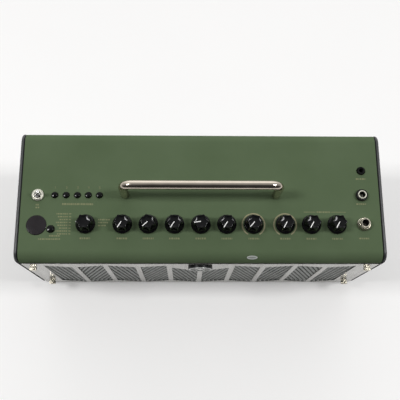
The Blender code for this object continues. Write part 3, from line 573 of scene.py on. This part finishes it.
def strand_slopes(index):
    """Sideways run per unit of height of the wide and the fine strands in a window.

    The wide strands lean the other way in every second window, and stand steeper where they lean
    towards the middle of the panel.
    """
    side = 1 if index % 2 == 0 else -1
    left_half = index < (BAR_COUNT + 1) / 2
    if (side > 0) == left_half:
        wide = 0.24 - 0.02 * abs(2 * index - BAR_COUNT)
    else:
        wide = 0.34
    return side * wide, -side * 0.62


def make_grille():
    """Steel mesh of crossing flat strands, close behind the front plate."""
    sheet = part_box("grille_mesh")[0].y
    overlap = 2.0 * MM
    shape = bmesh.new()
    for index in range(BAR_COUNT + 1):
        outline = window_outline(index, overlap)
        left, right = outline[0][0], outline[1][0]
        bottom = min(z for _, z in outline)
        top = max(z for _, z in outline)
        wide_slope, fine_slope = strand_slopes(index)
        for slope, width, rise, plane in ((wide_slope, 3.0 * MM, 0.40 * MM, sheet - 0.18 * MM),
                                          (fine_slope, 1.0 * MM, 0.25 * MM, sheet + 0.12 * MM)):
            shear = abs(slope) * (top - bottom)
            start = left if slope < 0 else left - shear
            for i in range(int((right - left + shear) / STRAND_PITCH) + 1):
                x_top = start + (i + 0.5) * STRAND_PITCH
                ends = clipped(x_top, slope, (left, right), (bottom, top))
                if ends:
                    add_strand(shape, *ends, width, rise, plane)
    stand_for(to_object("grille_strands", shape, MESH, 20), "grille_mesh", "mesh_metal")


def clipped(x_top, slope, across, heights):
    """Ends of the line x = x_top + slope * (top - z) inside a rectangle, or None when it misses."""
    left, right = across
    bottom, top = heights
    ends = []
    for z in (top, bottom):
        x = x_top + slope * (top - z)
        if x < left or x > right:
            x = min(max(x, left), right)
            z = top - (x - x_top) / slope
        ends.append((x, z))
    spare = 0.001 * MM
    inside = all(bottom - spare <= z <= top + spare for _, z in ends)
    return ends if inside and ends[0][1] - ends[1][1] > SHORTEST_STRAND else None


def make_thumbscrews():
    """Fluted head with a rounded nose, a groove, a fluted collar and the shank."""
    low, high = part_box(SCREW_NODES[0])
    radius = (high.x - low.x) / 2
    head_back = PANEL_LOW.y - 0.3 * MM
    shank_radius, shank_length = 1.3 * MM, high.y - head_back
    tall = (head_back - low.y) / MM
    flutes, segments = 10, 100
    # Millimetres in from the full radius, out from the panel, and of flute depth.
    steps = [(0.3, 0.0, 0.0), (0.1, 0.2, 0.3), (0.1, 1.5, 0.6), (1.0, 1.7, 0.0), (1.0, 2.2, 0.0),
             (0.1, 2.4, 0.5), (0.0, 2.7, 0.6), (0.0, tall - 0.9, 0.6), (0.15, tall - 0.55, 0.3),
             (0.4, tall - 0.25, 0.1), (0.8, tall - 0.05, 0.0), (1.5, tall, 0.0)]
    sections = [(shank_radius, -shank_length, 0.0), (shank_radius, 0.0, 0.0)]
    sections += [(radius - inset * MM, height * MM, flute * MM) for inset, height, flute in steps]
    for node in SCREW_NODES:
        middle = centre_of(node)
        shape = bmesh.new()
        loops = []
        for reach, height, flute in sections:
            loop = []
            for i in range(segments):
                angle = math.tau * i / segments
                out = reach - flute * math.sin(flutes / 2 * angle) ** 2
                loop.append(Vector((out * math.cos(angle), out * math.sin(angle), height)))
            loops.append(loop)
        add_loft(shape, loops)
        screw = to_object(f"{node}_knurled", shape, NICKEL)
        screw.location = (middle.x, head_back, middle.z)
        screw.rotation_euler.x = math.pi / 2
        stand_for(screw, node, "nickel")


def make_badge():
    """Round badge: metal rim, hub and rays on black enamel, a generic design."""
    low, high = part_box("front_badge")
    radius = (high.x - low.x) / 2
    depth = high.y - low.y
    base = facing_front(centre_of("front_badge"), high.y)
    profile = fillet([(radius - 1.5 * MM, 0.1 * MM), (radius - 0.1 * MM, 0.1 * MM), (radius, 0.4 * MM),
                      (radius, depth - 1.0 * MM), (radius - 0.8 * MM, depth - 0.35 * MM),
                      (radius - 2.0 * MM, depth - 0.5 * MM), (1.0 * MM, depth - 0.5 * MM)], 0.3 * MM)
    stand_for(turned("badge_body", ENAMEL, profile, 72, base), "front_badge", "enamel")

    face = depth - 0.55 * MM
    rim = (radius - 1.9 * MM, radius - 0.9 * MM, 0.50 * MM)
    hub = (4.3 * MM, 4.9 * MM, 0.35 * MM)
    shape = bmesh.new()
    for inner, outer, rise in (rim, hub):
        loop = rounded_box(inner, face, outer, face + rise, 0.15 * MM, 2)
        add_turned(shape, loop, 72, closed=True, place=base)
    rays, inner_end, outer_end = 12, 5.3 * MM, 9.2 * MM
    middle = (inner_end + outer_end) / 2
    outline = fillet([(-0.28 * MM, inner_end), (0.28 * MM, inner_end), (0.55 * MM, outer_end),
                      (-0.55 * MM, outer_end)], 0.2 * MM, 2, closed=True)
    for i in range(rays):
        turn = base @ Matrix.Rotation(math.tau * i / rays, 4, "Z")
        loops = []
        for narrow, short, rise in ((1.0, 1.0, 0.0), (1.0, 1.0, 0.22 * MM), (0.7, 0.91, 0.34 * MM)):
            loops.append([turn @ Vector((x * narrow, middle + (y - middle) * short, face + rise))
                          for x, y in outline])
        add_loft(shape, loops)
    button = [(3.0 * MM, face), (3.0 * MM, face + 0.2 * MM), (1.6 * MM, face + 0.5 * MM)]
    add_turned(shape, fillet(button, 0.2 * MM), 48, place=base)
    trim(to_object("badge_inlay", shape, BADGE_METAL), "housing", "chrome")


def make_label():
    """Oval plate on the front bend: raised rim round a plain darker field."""
    middle = centre_of("label_plate")
    bend_y, bend_z = COVER_LOW.y + BEND_RADIUS, TOP - BEND_RADIUS
    lean = math.atan2(bend_y - middle.y, middle.z - bend_z)
    place = (Matrix.Translation((middle.x, bend_y, bend_z)) @ Matrix.Rotation(lean, 4, "X")
             @ Matrix.Translation((0, 0, BEND_RADIUS + 0.35 * MM)))
    half_x, half_y, segments = 5.2 * MM, 1.9 * MM, 64

    def oval(scale_x, scale_y, height):
        angles = [math.tau * i / segments for i in range(segments)]
        return [place @ Vector((half_x * scale_x * math.cos(a), half_y * scale_y * math.sin(a), height))
                for a in angles]

    shape = bmesh.new()
    add_loft(shape, [oval(1.0, 1.0, 0.0), oval(1.0, 1.0, 0.34 * MM), oval(0.97, 0.94, 0.50 * MM),
                     oval(0.91, 0.80, 0.50 * MM), oval(0.88, 0.74, 0.38 * MM), oval(0.5, 0.4, 0.38 * MM)])
    stand_for(to_object("label_oval", shape, LABEL), "label_plate", "label_metal")
    shape = bmesh.new()
    add_loft(shape, [oval(0.78, 0.50, 0.36 * MM), oval(0.78, 0.50, 0.40 * MM),
                     oval(0.76, 0.46, 0.42 * MM)])
    trim(to_object("label_field_inlay", shape, LABEL_DARK), "housing", "label_metal")


def make_rear_panel():
    """Rear sheet with two groups of vent slots and the openings of the two inlets."""
    low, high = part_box("rear_panel")
    shape = bmesh.new()
    add_prism(shape, plate_outline(low, high), low.y, high.y)
    panel = to_object("rear_plate", shape, BLACK_STEEL)
    cutter = bmesh.new()
    near, far = low.y - 2 * MM, high.y + 2 * MM
    slots, slot_pitch, slot_half = 7, 9.5 * MM, 1.3 * MM
    slot_low, slot_high = 78 * MM, 112 * MM
    for group in (-110 * MM, 0.0):
        for i in range(slots):
            x = group + (i - (slots - 1) / 2) * slot_pitch
            slot = rounded_box(x - slot_half, slot_low, x + slot_half, slot_high, 1.2 * MM)
            add_prism(cutter, slot, near, far)
    usb = centre_of("usb_jack")
    half_x, half_z = 6.6 * MM, 6 * MM
    add_prism(cutter, rounded_box(usb.x - half_x, usb.z - half_z, usb.x + half_x, usb.z + half_z,
                                  0.5 * MM, 2), near, far)
    power, power_hole = centre_of("dc_jack"), 5.8 * MM
    place = Matrix.Translation((power.x, near, power.z)) @ Matrix.Rotation(-math.pi / 2, 4, "X")
    add_turned(cutter, ((power_hole, 0.0), (power_hole, far - near)), 48, place=place)
    cut(panel, to_object("rear_cutter", cutter))
    round_edges(panel, 0.2 * MM)
    stand_for(panel, "rear_panel", "black_steel")


def make_bottom():
    """Floor sheet with a flange along its rear edge, and the battery door with grip ribs."""
    low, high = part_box("bottom_plate")
    sheet = 1.3 * MM
    outline = [(low.y, low.z), (high.y, low.z), (high.y, high.z), (high.y - sheet, high.z),
               (high.y - sheet, low.z + sheet), (low.y, low.z + sheet)]
    shape = bmesh.new()
    add_prism(shape, outline, low.x, high.x, "X")
    plate = to_object("bottom_sheet", shape, BLACK_STEEL)
    door_low, door_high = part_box("battery_door")
    gap, corner = 0.4 * MM, 1.5 * MM
    cutter = bmesh.new()
    opening = rounded_box(door_low.x - gap, door_low.y - gap, door_high.x + gap, door_high.y + gap, corner)
    add_prism(cutter, opening, low.z - 2 * MM, low.z + 5 * MM, "Z")
    cut(plate, to_object("bottom_cutter", cutter))
    round_edges(plate, 0.2 * MM)
    stand_for(plate, "bottom_plate", "black_steel")

    shape = bmesh.new()
    outline = rounded_box(door_low.x, door_low.y, door_high.x, door_high.y, corner)
    add_prism(shape, outline, door_low.z, door_high.z, "Z")
    door = to_object("battery_lid", shape, CAP)
    cutter = bmesh.new()
    middle = (door_low.x + door_high.x) / 2
    rib_half, rib_width, rib_pitch, rib_depth = 6 * MM, 1.5 * MM, 3 * MM, 0.6 * MM
    for i in range(4):
        y = door_low.y + 4.6 * MM + i * rib_pitch
        rib = rounded_box(middle - rib_half, y, middle + rib_half, y + rib_width, 0.7 * MM, 3)
        add_prism(cutter, rib, door_low.z - 1 * MM, door_low.z + rib_depth, "Z")
    cut(door, to_object("door_cutter", cutter))
    round_edges(door, 0.25 * MM)
    stand_for(door, "battery_door", "cap_plastic")


def make_feet():
    """Rubber feet, dished in the middle."""
    for node in FOOT_NODES:
        low, high, radius, place = round_part(node)
        tall = high.z - low.z
        profile = fillet([(1.2 * MM, tall * 0.55), (2.2 * MM, tall * 0.55), (3.2 * MM, tall * 0.2),
                          (5.0 * MM, 0.0), (radius - 1.0 * MM, 0.0), (radius, tall * 0.5),
                          (radius, tall), (1.0 * MM, tall)], 0.5 * MM)
        piece = turned(f"{node}_rubber", RUBBER, profile, 48, Matrix.Translation((0, 0, low.z)) @ place)
        stand_for(piece, node, "rubber")


def make_handle():
    """Bent tube with its spigots, in one smooth sweep."""
    low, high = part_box("handle")
    radius = (high.y - low.y) / 2
    centre = (low + high) / 2
    post = (high.x - low.x) / 2 - radius
    bar = high.z - radius
    shoulder = TOP_FACE + 0.1 * MM
    bend, spigot, chamfer, support, steps = 9.5 * MM, 2.9 * MM, 0.3 * MM, 1 * MM, 16
    # Place along x, height, turn and radius of each section, from one end to the middle.
    stations = [(-post, low.z, 0.0, spigot), (-post, shoulder, 0.0, spigot),
                (-post, shoulder, 0.0, radius - chamfer), (-post, shoulder + chamfer, 0.0, radius),
                (-post, bar - bend - support, 0.0, radius)]
    for i in range(steps + 1):
        turn = math.pi / 2 * i / steps
        x, z = -post + bend * (1 - math.cos(turn)), bar - bend * (1 - math.sin(turn))
        stations.append((x, z, turn, radius))
    stations.append((-post + bend + support, bar, math.pi / 2, radius))
    stations += [(-x, z, math.pi - turn, reach) for x, z, turn, reach in reversed(stations)]
    loops = []
    for x, z, turn, reach in stations:
        place = Matrix.Translation((centre.x + x, centre.y, z)) @ Matrix.Rotation(turn, 4, "Y")
        loops.append([place @ point for point in ring(reach, 0.0, 40)])
    shape = bmesh.new()
    add_loft(shape, loops)
    stand_for(to_object("handle_bar", shape, HANDLE_NICKEL, 40), "handle", "nickel")


# Controls -------------------------------------------------------------------------------------

KNOB_NODES = [name for name in NODES if name.startswith("knob_")]
BUTTON_NODES = [name for name in NODES if name.startswith("memory_button_")] + ["tap_button"]
SCREW_NODES = [name for name in NODES if name.startswith("thumbscrew_")]
FOOT_NODES = [name for name in NODES if name.startswith("foot_")]
KNOB_SWEEP_START = -150
LOBES = 6


def lobe(angle):
    """0 on the narrow crest of a lobe and 1 in the wide flute between two."""
    return (0.5 - 0.5 * math.cos(LOBES * angle)) ** 0.6


def make_knob_mesh():
    """Knob with a round skirt, six lobes and a slightly dished top."""
    segments = 144
    # Radius, height and flute depth, in millimetres, from the shaft over the skirt to the top.
    sections = [(3.0, -8.0, 0), (3.0, 0.7, 0), (8.9, 0.7, 0), (9.25, 0.8, 0), (9.45, 1.1, 0), (9.5, 1.5, 0),
                (9.45, 2.1, 0), (9.2, 2.6, 0), (8.8, 2.95, 0), (8.4, 3.15, 0.1), (8.3, 3.6, 0.8),
                (8.2, 4.2, 1.4), (8.0, 6.5, 1.7), (7.8, 9.5, 1.75), (7.62, 12.4, 1.7), (7.5, 13.3, 1.55),
                (7.25, 13.85, 1.35), (6.85, 14.13, 1.1), (6.4, 14.2, 0.85), (5.9, 14.12, 0.5),
                (5.4, 13.95, 0.2), (2.5, 13.88, 0.0), (0.8, 13.88, 0.0)]
    loops = []
    for radius, height, flute in sections:
        loop = []
        for i in range(segments):
            angle = math.tau * i / segments
            reach = (radius - flute * lobe(angle)) * MM
            loop.append(Vector((reach * math.sin(angle), reach * math.cos(angle), height * MM)))
        loops.append(loop)
    shape = bmesh.new()
    add_loft(shape, loops)
    return to_object("knob_pattern", shape, KNOB, 40)


def make_pointer_mesh(name, path, half):
    """Flat strip of ink along (radius, height) points on the knob's surface, in millimetres."""
    shape = bmesh.new()
    thick, top = 0.08 * MM, 0.9 * half
    loops = []
    for i, (reach, height) in enumerate(path):
        before = Vector(path[max(i - 1, 0)])
        after = Vector(path[min(i + 1, len(path) - 1)])
        along = (after - before).normalized()
        lift = Vector((-along.y, along.x)) * thick
        y, z = reach * MM, height * MM
        loops.append([Vector((-half, y - lift.x, z - lift.y)), Vector((half, y - lift.x, z - lift.y)),
                      Vector((top, y + lift.x, z + lift.y)), Vector((-top, y + lift.x, z + lift.y))])
    add_loft(shape, loops)
    return to_object(name, shape, WHITE_INK)


def make_knobs():
    """Ten knobs at the angles that their joints give, each with its white pointer."""
    pattern = make_knob_mesh()
    over_top = [(0.2, 13.90), (5.3, 13.95), (5.9, 14.15), (6.4, 14.23), (6.85, 14.16)]
    down_side = [(7.25, 13.88), (7.52, 13.3), (7.65, 12.4), (7.82, 9.5), (7.86, 8.8)]
    line = make_pointer_mesh("line_pattern", over_top, 0.42 * MM)
    mark = make_pointer_mesh("mark_pattern", down_side, 0.45 * MM)
    for node in KNOB_NODES:
        joint = JOINTS[node]
        angle = -math.radians(KNOB_SWEEP_START - joint["range_deg"][0])
        pointer = mark if node == "knob_model" else line
        for source, name in ((pattern, f"{node}_cap"), (pointer, f"{node}_pointer")):
            piece = bpy.data.objects.new(name, source.data)
            bpy.context.scene.collection.objects.link(piece)
            piece.location = joint["pos_m"]
            piece.rotation_euler.z = angle
            fix = stand_for if source is pattern else trim
            fix(piece, node, "black_plastic")
    for source in (pattern, line, mark):
        bpy.data.objects.remove(source)


def make_buttons():
    """Domed push buttons with a flange below the cover."""
    steps, edge = 8, 0.9 * MM
    for node in BUTTON_NODES:
        low, high, flange, place = round_part(node)
        cap = flange - 0.6 * MM
        rise = high.z - TOP_FACE
        profile = [(1.2 * MM, low.z), (1.5 * MM, UNDER_COVER - 0.9 * MM), (flange, UNDER_COVER - 0.8 * MM),
                   (flange, UNDER_COVER), (cap, UNDER_COVER), (cap, TOP_FACE + rise * 0.30)]
        for i in range(1, steps + 1):
            turn = math.pi / 2 * i / steps
            height = TOP_FACE + rise * (0.30 + 0.55 * math.sin(turn))
            profile.append((cap - edge * (1 - math.cos(turn)), height))
        profile += [(cap * 0.45, TOP_FACE + rise * 0.95), (cap * 0.18, TOP_FACE + rise)]
        stand_for(turned(f"{node}_dome", KNOB, profile, 48, place), node, "black_plastic")


def make_tuner_window():
    """Smoked disc with a fine chamfer."""
    low, high, radius, place = round_part("tuner_window")
    profile = fillet([(radius - 0.3 * MM, low.z), (radius, low.z + 0.2 * MM), (radius, high.z - 0.3 * MM),
                      (radius - 0.35 * MM, high.z), (1.0 * MM, high.z)], 0.15 * MM)
    stand_for(turned("tuner_lens", ACRYLIC, profile, 72, place), "tuner_window", "window_acrylic")


def thread_profile(crest, root, top):
    """Zigzag of an outside thread from below the cover up to top, as (radius, height) points."""
    pitch = 0.5 * MM
    points = []
    z = UNDER_COVER
    while z < top:
        points += [(crest, z), (root, z + pitch / 2)]
        z += pitch
    return points


def make_power_toggle():
    """Switch bush with its thread, slotted dress nut and bat lever."""
    place = round_part("toggle_nut")[3]
    low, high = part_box("toggle_switch")
    bush = [(2.9 * MM, UNDER_COVER - 1 * MM)] + thread_profile(3.0 * MM, 2.8 * MM, high.z - 0.5 * MM)
    bush += [(2.95 * MM, high.z - 0.3 * MM), (2.7 * MM, high.z), (2.2 * MM, high.z),
             (2.1 * MM, high.z - 0.2 * MM), (2.1 * MM, TOP_FACE - 1.2 * MM)]
    shape = bmesh.new()
    add_turned(shape, bush, 48, place=place)
    add_box(shape, low, (high.x, high.y, UNDER_COVER - 1.2 * MM))
    stand_for(to_object("toggle_bush", shape, CHROME), "toggle_switch", "chrome")

    low, high, radius, place = round_part("toggle_nut")
    bore, rim = 3.3 * MM, radius - 0.2 * MM
    loop = fillet([(bore, low.z), (rim, low.z), (radius, low.z + 0.5 * MM), (rim, low.z + 1.3 * MM),
                   (4.6 * MM, high.z - 0.1 * MM), (bore, high.z)], 0.25 * MM, closed=True)
    nut = turned("toggle_dress_nut", SATIN_NICKEL, loop, 72, place, closed=True)
    cutter = bmesh.new()
    reach, half = 8 * MM, 0.6 * MM
    corners = ((-reach, -half), (reach, -half), (reach, half), (-reach, half))
    for quarter in (45, 135):
        turn = place @ Matrix.Rotation(math.radians(quarter), 4, "Z")
        add_loft(cutter, [[turn @ Vector((x, y, z)) for x, y in corners]
                          for z in (low.z + 1.35 * MM, high.z + 2 * MM)])
    cut(nut, to_object("nut_cutter", cutter))
    stand_for(nut, "toggle_nut", "nickel")

    lean = math.radians(13)
    # Radius and height above the pivot, in millimetres.
    bat = [(0.5, -2.4), (0.9, -2.2), (1.15, -1.4), (1.2, 0.0), (1.1, 2.8), (1.2, 4.5), (1.5, 7.0),
           (1.75, 8.8), (1.8, 9.6), (1.65, 10.3), (1.2, 10.7), (0.5, 10.85)]
    shape = bmesh.new()
    add_turned(shape, [(r * MM, h * MM) for r, h in bat], 40)
    lever = to_object("toggle_bat", shape, CHROME, 50)
    lever.location = JOINTS["toggle_lever"]["pos_m"]
    lever.rotation_euler.y = lean
    stand_for(lever, "toggle_lever", "chrome")


def make_socket(node, bush, bore, thread, surface, slot, name):
    """Bush with a rounded mouth, a dark liner in its bore and the socket's body below the cover."""
    low, high, half, place = round_part(node)
    profile = [(bush - 0.2 * MM, UNDER_COVER - 1.0 * MM)]
    profile += thread_profile(bush, bush - thread, high.z - 0.8 * MM)
    profile += [(bush - 0.05 * MM, high.z - 0.5 * MM), (bush - 0.35 * MM, high.z),
                (bore + 0.35 * MM, high.z), (bore, high.z - 0.35 * MM), (bore, low.z + 2 * MM)]
    stand_for(turned(name, surface, profile, 64, place), node, slot)
    shape = bmesh.new()
    outside, inside = bore - 0.02 * MM, bore - 0.35 * MM
    add_turned(shape, [(outside, low.z + 2.1 * MM), (outside, high.z - 1.6 * MM),
                       (inside, high.z - 2.0 * MM), (inside, low.z + 2.3 * MM)], 48, place=place)
    trim(to_object(f"{name}_liner", shape, BORE_DARK), "housing", "black_plastic")
    shape = bmesh.new()
    middle = (low + high) / 2
    outline = rounded_box(middle.x - half, middle.y - half, middle.x + half, middle.y + half, 0.8 * MM, 3)
    add_prism(shape, outline, low.z, low.z + 1.8 * MM, "Z")
    trim(to_object(f"{name}_base", shape, BORE_DARK), "housing", "black_plastic")


def make_sockets():
    """Instrument, headphone and auxiliary sockets with their nuts."""
    make_socket("input_jack", 4.7 * MM, 3.3 * MM, 0.15 * MM, NICKEL, "nickel", "input_bush")
    make_socket("phones_jack", 4.3 * MM, 3.1 * MM, 0.0, SATIN_NICKEL, "chrome", "phones_bush")
    make_socket("aux_jack", 4.0 * MM, 1.9 * MM, 0.0, KNOB, "black_plastic", "aux_bush")

    low, high, radius, place = round_part("input_nut")
    bore = 4.9 * MM
    loop = fillet([(bore, low.z), (radius, low.z), (radius, low.z + 1.1 * MM),
                   (radius - 0.5 * MM, low.z + 1.6 * MM), (6.0 * MM, low.z + 1.8 * MM),
                   (5.9 * MM, high.z - 0.6 * MM), (5.4 * MM, high.z), (bore, high.z)],
                  0.22 * MM, closed=True)
    stand_for(turned("input_dress_nut", NICKEL, loop, 72, place, closed=True), "input_nut", "nickel")

    low, high, radius, place = round_part("phones_nut")
    bore = 4.4 * MM
    loop = fillet([(bore, low.z), (radius, low.z), (radius, high.z - 0.8 * MM),
                   (radius - 0.5 * MM, high.z), (bore, high.z)], 0.25 * MM, closed=True)
    piece = turned("phones_ring_nut", BLACK_METAL, loop, 64, place, closed=True)
    stand_for(piece, "phones_nut", "black_metal")


# Printed legends ------------------------------------------------------------------------------

INK_ROOT = TOP - 0.05 * MM
INK_TOP = TOP + 0.03 * MM


def add_stroke(shape, x0, y0, x1, y1, width=0.35 * MM):
    """One straight stroke of ink on the top face."""
    start, end = Vector((x0, y0)), Vector((x1, y1))
    along = (end - start).normalized() * width / 2
    across = Vector((-along.y, along.x))
    corners = (start - along + across, start - along - across,
               end + along - across, end + along + across)
    add_loft(shape, [[Vector((p.x, p.y, z)) for p in corners] for z in (INK_ROOT, INK_TOP)])


def add_arc_stroke(shape, x, y, radius, start, end, width=0.4 * MM):
    """An arc of ink; angles run clockwise from the rear, in degrees."""
    steps = max(6, int(abs(end - start) / 6))
    inner, outer = radius - width / 2, radius + width / 2
    loops = []
    for i in range(steps + 1):
        angle = math.radians(start + (end - start) * i / steps)
        out = Vector((math.sin(angle), math.cos(angle)))
        section = ((inner, INK_ROOT), (outer, INK_ROOT), (outer, INK_TOP), (inner, INK_TOP))
        loops.append([Vector((x + out.x * reach, y + out.y * reach, z)) for reach, z in section])
    add_loft(shape, loops)


# Strokes of each digit as x0, y0, x1, y1, in half heights about its middle.
DIGIT_STROKES = {
    1: ((0.0, 1.0, 0.0, -1.0), (0.0, 1.0, -0.35, 0.6)),
    2: ((-0.5, 1.0, 0.5, 1.0), (0.5, 1.0, 0.5, 0.0), (0.5, 0.0, -0.5, -1.0), (-0.5, -1.0, 0.5, -1.0)),
    3: ((-0.5, 1.0, 0.5, 1.0), (0.5, 1.0, 0.5, -1.0), (-0.5, -1.0, 0.5, -1.0), (-0.2, 0.0, 0.5, 0.0)),
    4: ((-0.5, 1.0, -0.5, -0.1), (-0.5, -0.1, 0.5, -0.1), (0.35, 1.0, 0.35, -1.0)),
    5: ((0.5, 1.0, -0.5, 1.0), (-0.5, 1.0, -0.5, 0.1), (-0.5, 0.1, 0.5, 0.1), (0.5, 0.1, 0.5, -1.0),
        (0.5, -1.0, -0.5, -1.0)),
}


def add_words(shape, x0, x1, y, tall=1.5 * MM, seed=0):
    """A row of small dashes that reads as a line of print without any letters."""
    x, step = x0, seed
    while x < x1:
        length = min((0.9 + 0.5 * (step % 3)) * MM, x1 - x)
        add_box(shape, (x, y - tall / 2, INK_ROOT), (x + length, y + tall / 2, INK_TOP))
        x += length + 0.65 * MM
        step += 1


def make_legends():
    """Generic legends: numbers over the buttons, dashes for names, scale arcs and a group line."""
    shape = bmesh.new()
    size, above = 1.1 * MM, 7.7 * MM
    for number, node in enumerate(BUTTON_NODES[:5], 1):
        x, y = centre_of(node).x, centre_of(node).y + above
        for x0, y0, x1, y1 in DIGIT_STROKES[number]:
            add_stroke(shape, x + x0 * size, y + y0 * size, x + x1 * size, y + y1 * size, 0.3 * MM)
    first, last = centre_of(BUTTON_NODES[0]), centre_of(BUTTON_NODES[4])
    add_words(shape, first.x + 7.5 * MM, last.x - 5.5 * MM, first.y - 9.1 * MM, 1.9 * MM, 1)
    toggle = centre_of("toggle_nut")
    for row in range(2):
        y = toggle.y - (9.6 + 2.8 * row) * MM
        add_words(shape, toggle.x - 1.5 * MM, toggle.x + 2.0 * MM, y, seed=row)
    model = centre_of("knob_model")
    for row in range(8):
        y = model.y + (10.4 - 2.84 * row) * MM
        add_words(shape, model.x - (28.6 - 1.6 * (row % 3)) * MM, model.x - 17.6 * MM, y, 1.3 * MM, row)
        add_stroke(shape, model.x - 15.9 * MM, y, model.x - 14.7 * MM, y, 0.9 * MM)
    for row in range(3):
        y = model.y + (4.7 - 2.9 * row) * MM
        add_words(shape, model.x + 12.0 * MM, model.x + (23.5 - 2 * row) * MM, y, 1.3 * MM, row)
    tap = centre_of("tap_button")
    add_words(shape, tap.x - 1.0 * MM, tap.x + 9.5 * MM, tap.y - 6.7 * MM, 1.4 * MM, 1)
    add_words(shape, tap.x - 11.3 * MM, tap.x + 9.7 * MM, tap.y - 9.9 * MM, 1.4 * MM, 0)
    for index, node in enumerate(KNOB_NODES):
        middle = centre_of(node)
        add_words(shape, middle.x - 5.2 * MM, middle.x + 5.2 * MM, middle.y - 13.8 * MM, 1.7 * MM, index)
    for node, drop in (("aux_jack", 8.4), ("phones_jack", 8.6), ("input_jack", 14.1)):
        middle = centre_of(node)
        add_words(shape, middle.x - 5.5 * MM, middle.x + 4.0 * MM, middle.y - drop * MM, 1.5 * MM, 2)
    left, right = centre_of("knob_guitar_volume"), centre_of("knob_audio_volume")
    y = left.y + 12.8 * MM
    add_stroke(shape, left.x - 6.5 * MM, y, left.x + 4.5 * MM, y, 0.5 * MM)
    add_stroke(shape, right.x - 4.5 * MM, y, right.x + 9.5 * MM, y, 0.5 * MM)
    add_words(shape, left.x + 6.0 * MM, right.x - 6.0 * MM, y, 1.5 * MM, 1)
    trim(to_object("legend_print", shape, PRINT), "housing", "green_paint")
    shape = bmesh.new()
    for node in ("knob_effect", "knob_delay"):
        middle = centre_of(node)
        add_arc_stroke(shape, middle.x, middle.y, 11.0 * MM, -150, 150, 1.1 * MM)
    trim(to_object("legend_arcs", shape, ACCENT_PRINT), "housing", "green_paint")


# Stage ----------------------------------------------------------------------------------------

def make_stage():
    """Plain pale floor, soft lights and a pale surrounding."""
    shape = bmesh.new()
    half = 4.0
    for corner in ((-half, -half), (half, -half), (half, half), (-half, half)):
        shape.verts.new((*corner, 0.0))
    shape.faces.new(shape.verts)
    surface = make_material("pale_floor", (0.74, 0.735, 0.73), 0.7, blotch=0.01, blotch_scale=3,
                            rough_spread=0.03, rough_scale=20, grain=0.00002, grain_scale=900)
    shader = surface.node_tree.nodes["Principled BSDF"]
    shader.inputs["Emission Color"].default_value = (1.0, 0.985, 0.975, 1.0)
    shader.inputs["Emission Strength"].default_value = 0.23
    floor = to_object("floor", shape, surface)

    world = bpy.data.worlds.new("studio")
    bpy.context.scene.world = world
    world.use_nodes = True
    nodes, links = world.node_tree.nodes, world.node_tree.links
    background = nodes["Background"]
    background.inputs["Strength"].default_value = 1.6
    direction = nodes.new("ShaderNodeTexCoord")
    split = nodes.new("ShaderNodeSeparateXYZ")
    spread = nodes.new("ShaderNodeMapRange")
    spread.inputs["From Min"].default_value = -1.0
    spread.inputs["From Max"].default_value = 1.0
    ramp = nodes.new("ShaderNodeValToRGB")
    # Brightness from the front of the surroundings to the rear.
    stops = ((0.0, 0.02), (0.30, 0.03), (0.44, 0.10), (0.58, 0.28), (0.80, 0.36), (0.92, 0.95),
             (1.0, 1.0))
    elements = ramp.color_ramp.elements
    elements[1].position = 1.0
    for position, _ in stops[1:-1]:
        elements.new(position)
    for element, (_, level) in zip(elements, stops):
        element.color = (level * 0.99, level, level, 1.0)
    links.new(direction.outputs["Generated"], split.inputs["Vector"])
    links.new(split.outputs["Y"], spread.inputs["Value"])
    links.new(spread.outputs["Result"], ramp.inputs["Fac"])
    links.new(ramp.outputs["Color"], background.inputs["Color"])

    aim = Vector((0.0, 0.0, 0.1))
    for name, place, energy in (("soft_left", Vector((-1.2, 0.0, 1.85)), 18.0),
                                ("soft_right", Vector((1.2, 0.0, 1.85)), 17.0)):
        lamp = bpy.data.lights.new(name, "AREA")
        lamp.shape = "RECTANGLE"
        lamp.size, lamp.size_y = 0.35, 0.6
        lamp.energy = energy
        made = bpy.data.objects.new(name, lamp)
        bpy.context.scene.collection.objects.link(made)
        made.location = place
        made.rotation_euler = (aim - place).to_track_quat("-Z", "Y").to_euler()


def make_camera():
    """Camera at the reference viewing angle: high over the front, looking down."""
    body_y = (CAP_LOW.y + CAP_HIGH.y) / 2
    data = bpy.data.cameras.new("camera")
    data.lens = 58.2
    data.sensor_width = 36.0
    camera = bpy.data.objects.new("camera", data)
    bpy.context.scene.collection.objects.link(camera)
    camera.location = (-15.57 * MM, body_y - 169.91 * MM, TOP_FACE + 612.71 * MM)
    camera.rotation_euler = (math.radians(15.063), math.radians(-1.296), math.radians(-0.165))
    bpy.context.scene.camera = camera


make_cover()
make_end_cap("side_cap_left", -1)
make_end_cap("side_cap_right", 1)
make_front_panel()
make_grille()
make_thumbscrews()
make_badge()
make_label()
make_rear_panel()
make_bottom()
make_feet()
make_handle()
make_knobs()
make_buttons()
make_tuner_window()
make_power_toggle()
make_sockets()
make_legends()
dress_carried_over()
make_stage()
make_camera()
bpy.context.scene.view_settings.view_transform = "Standard"
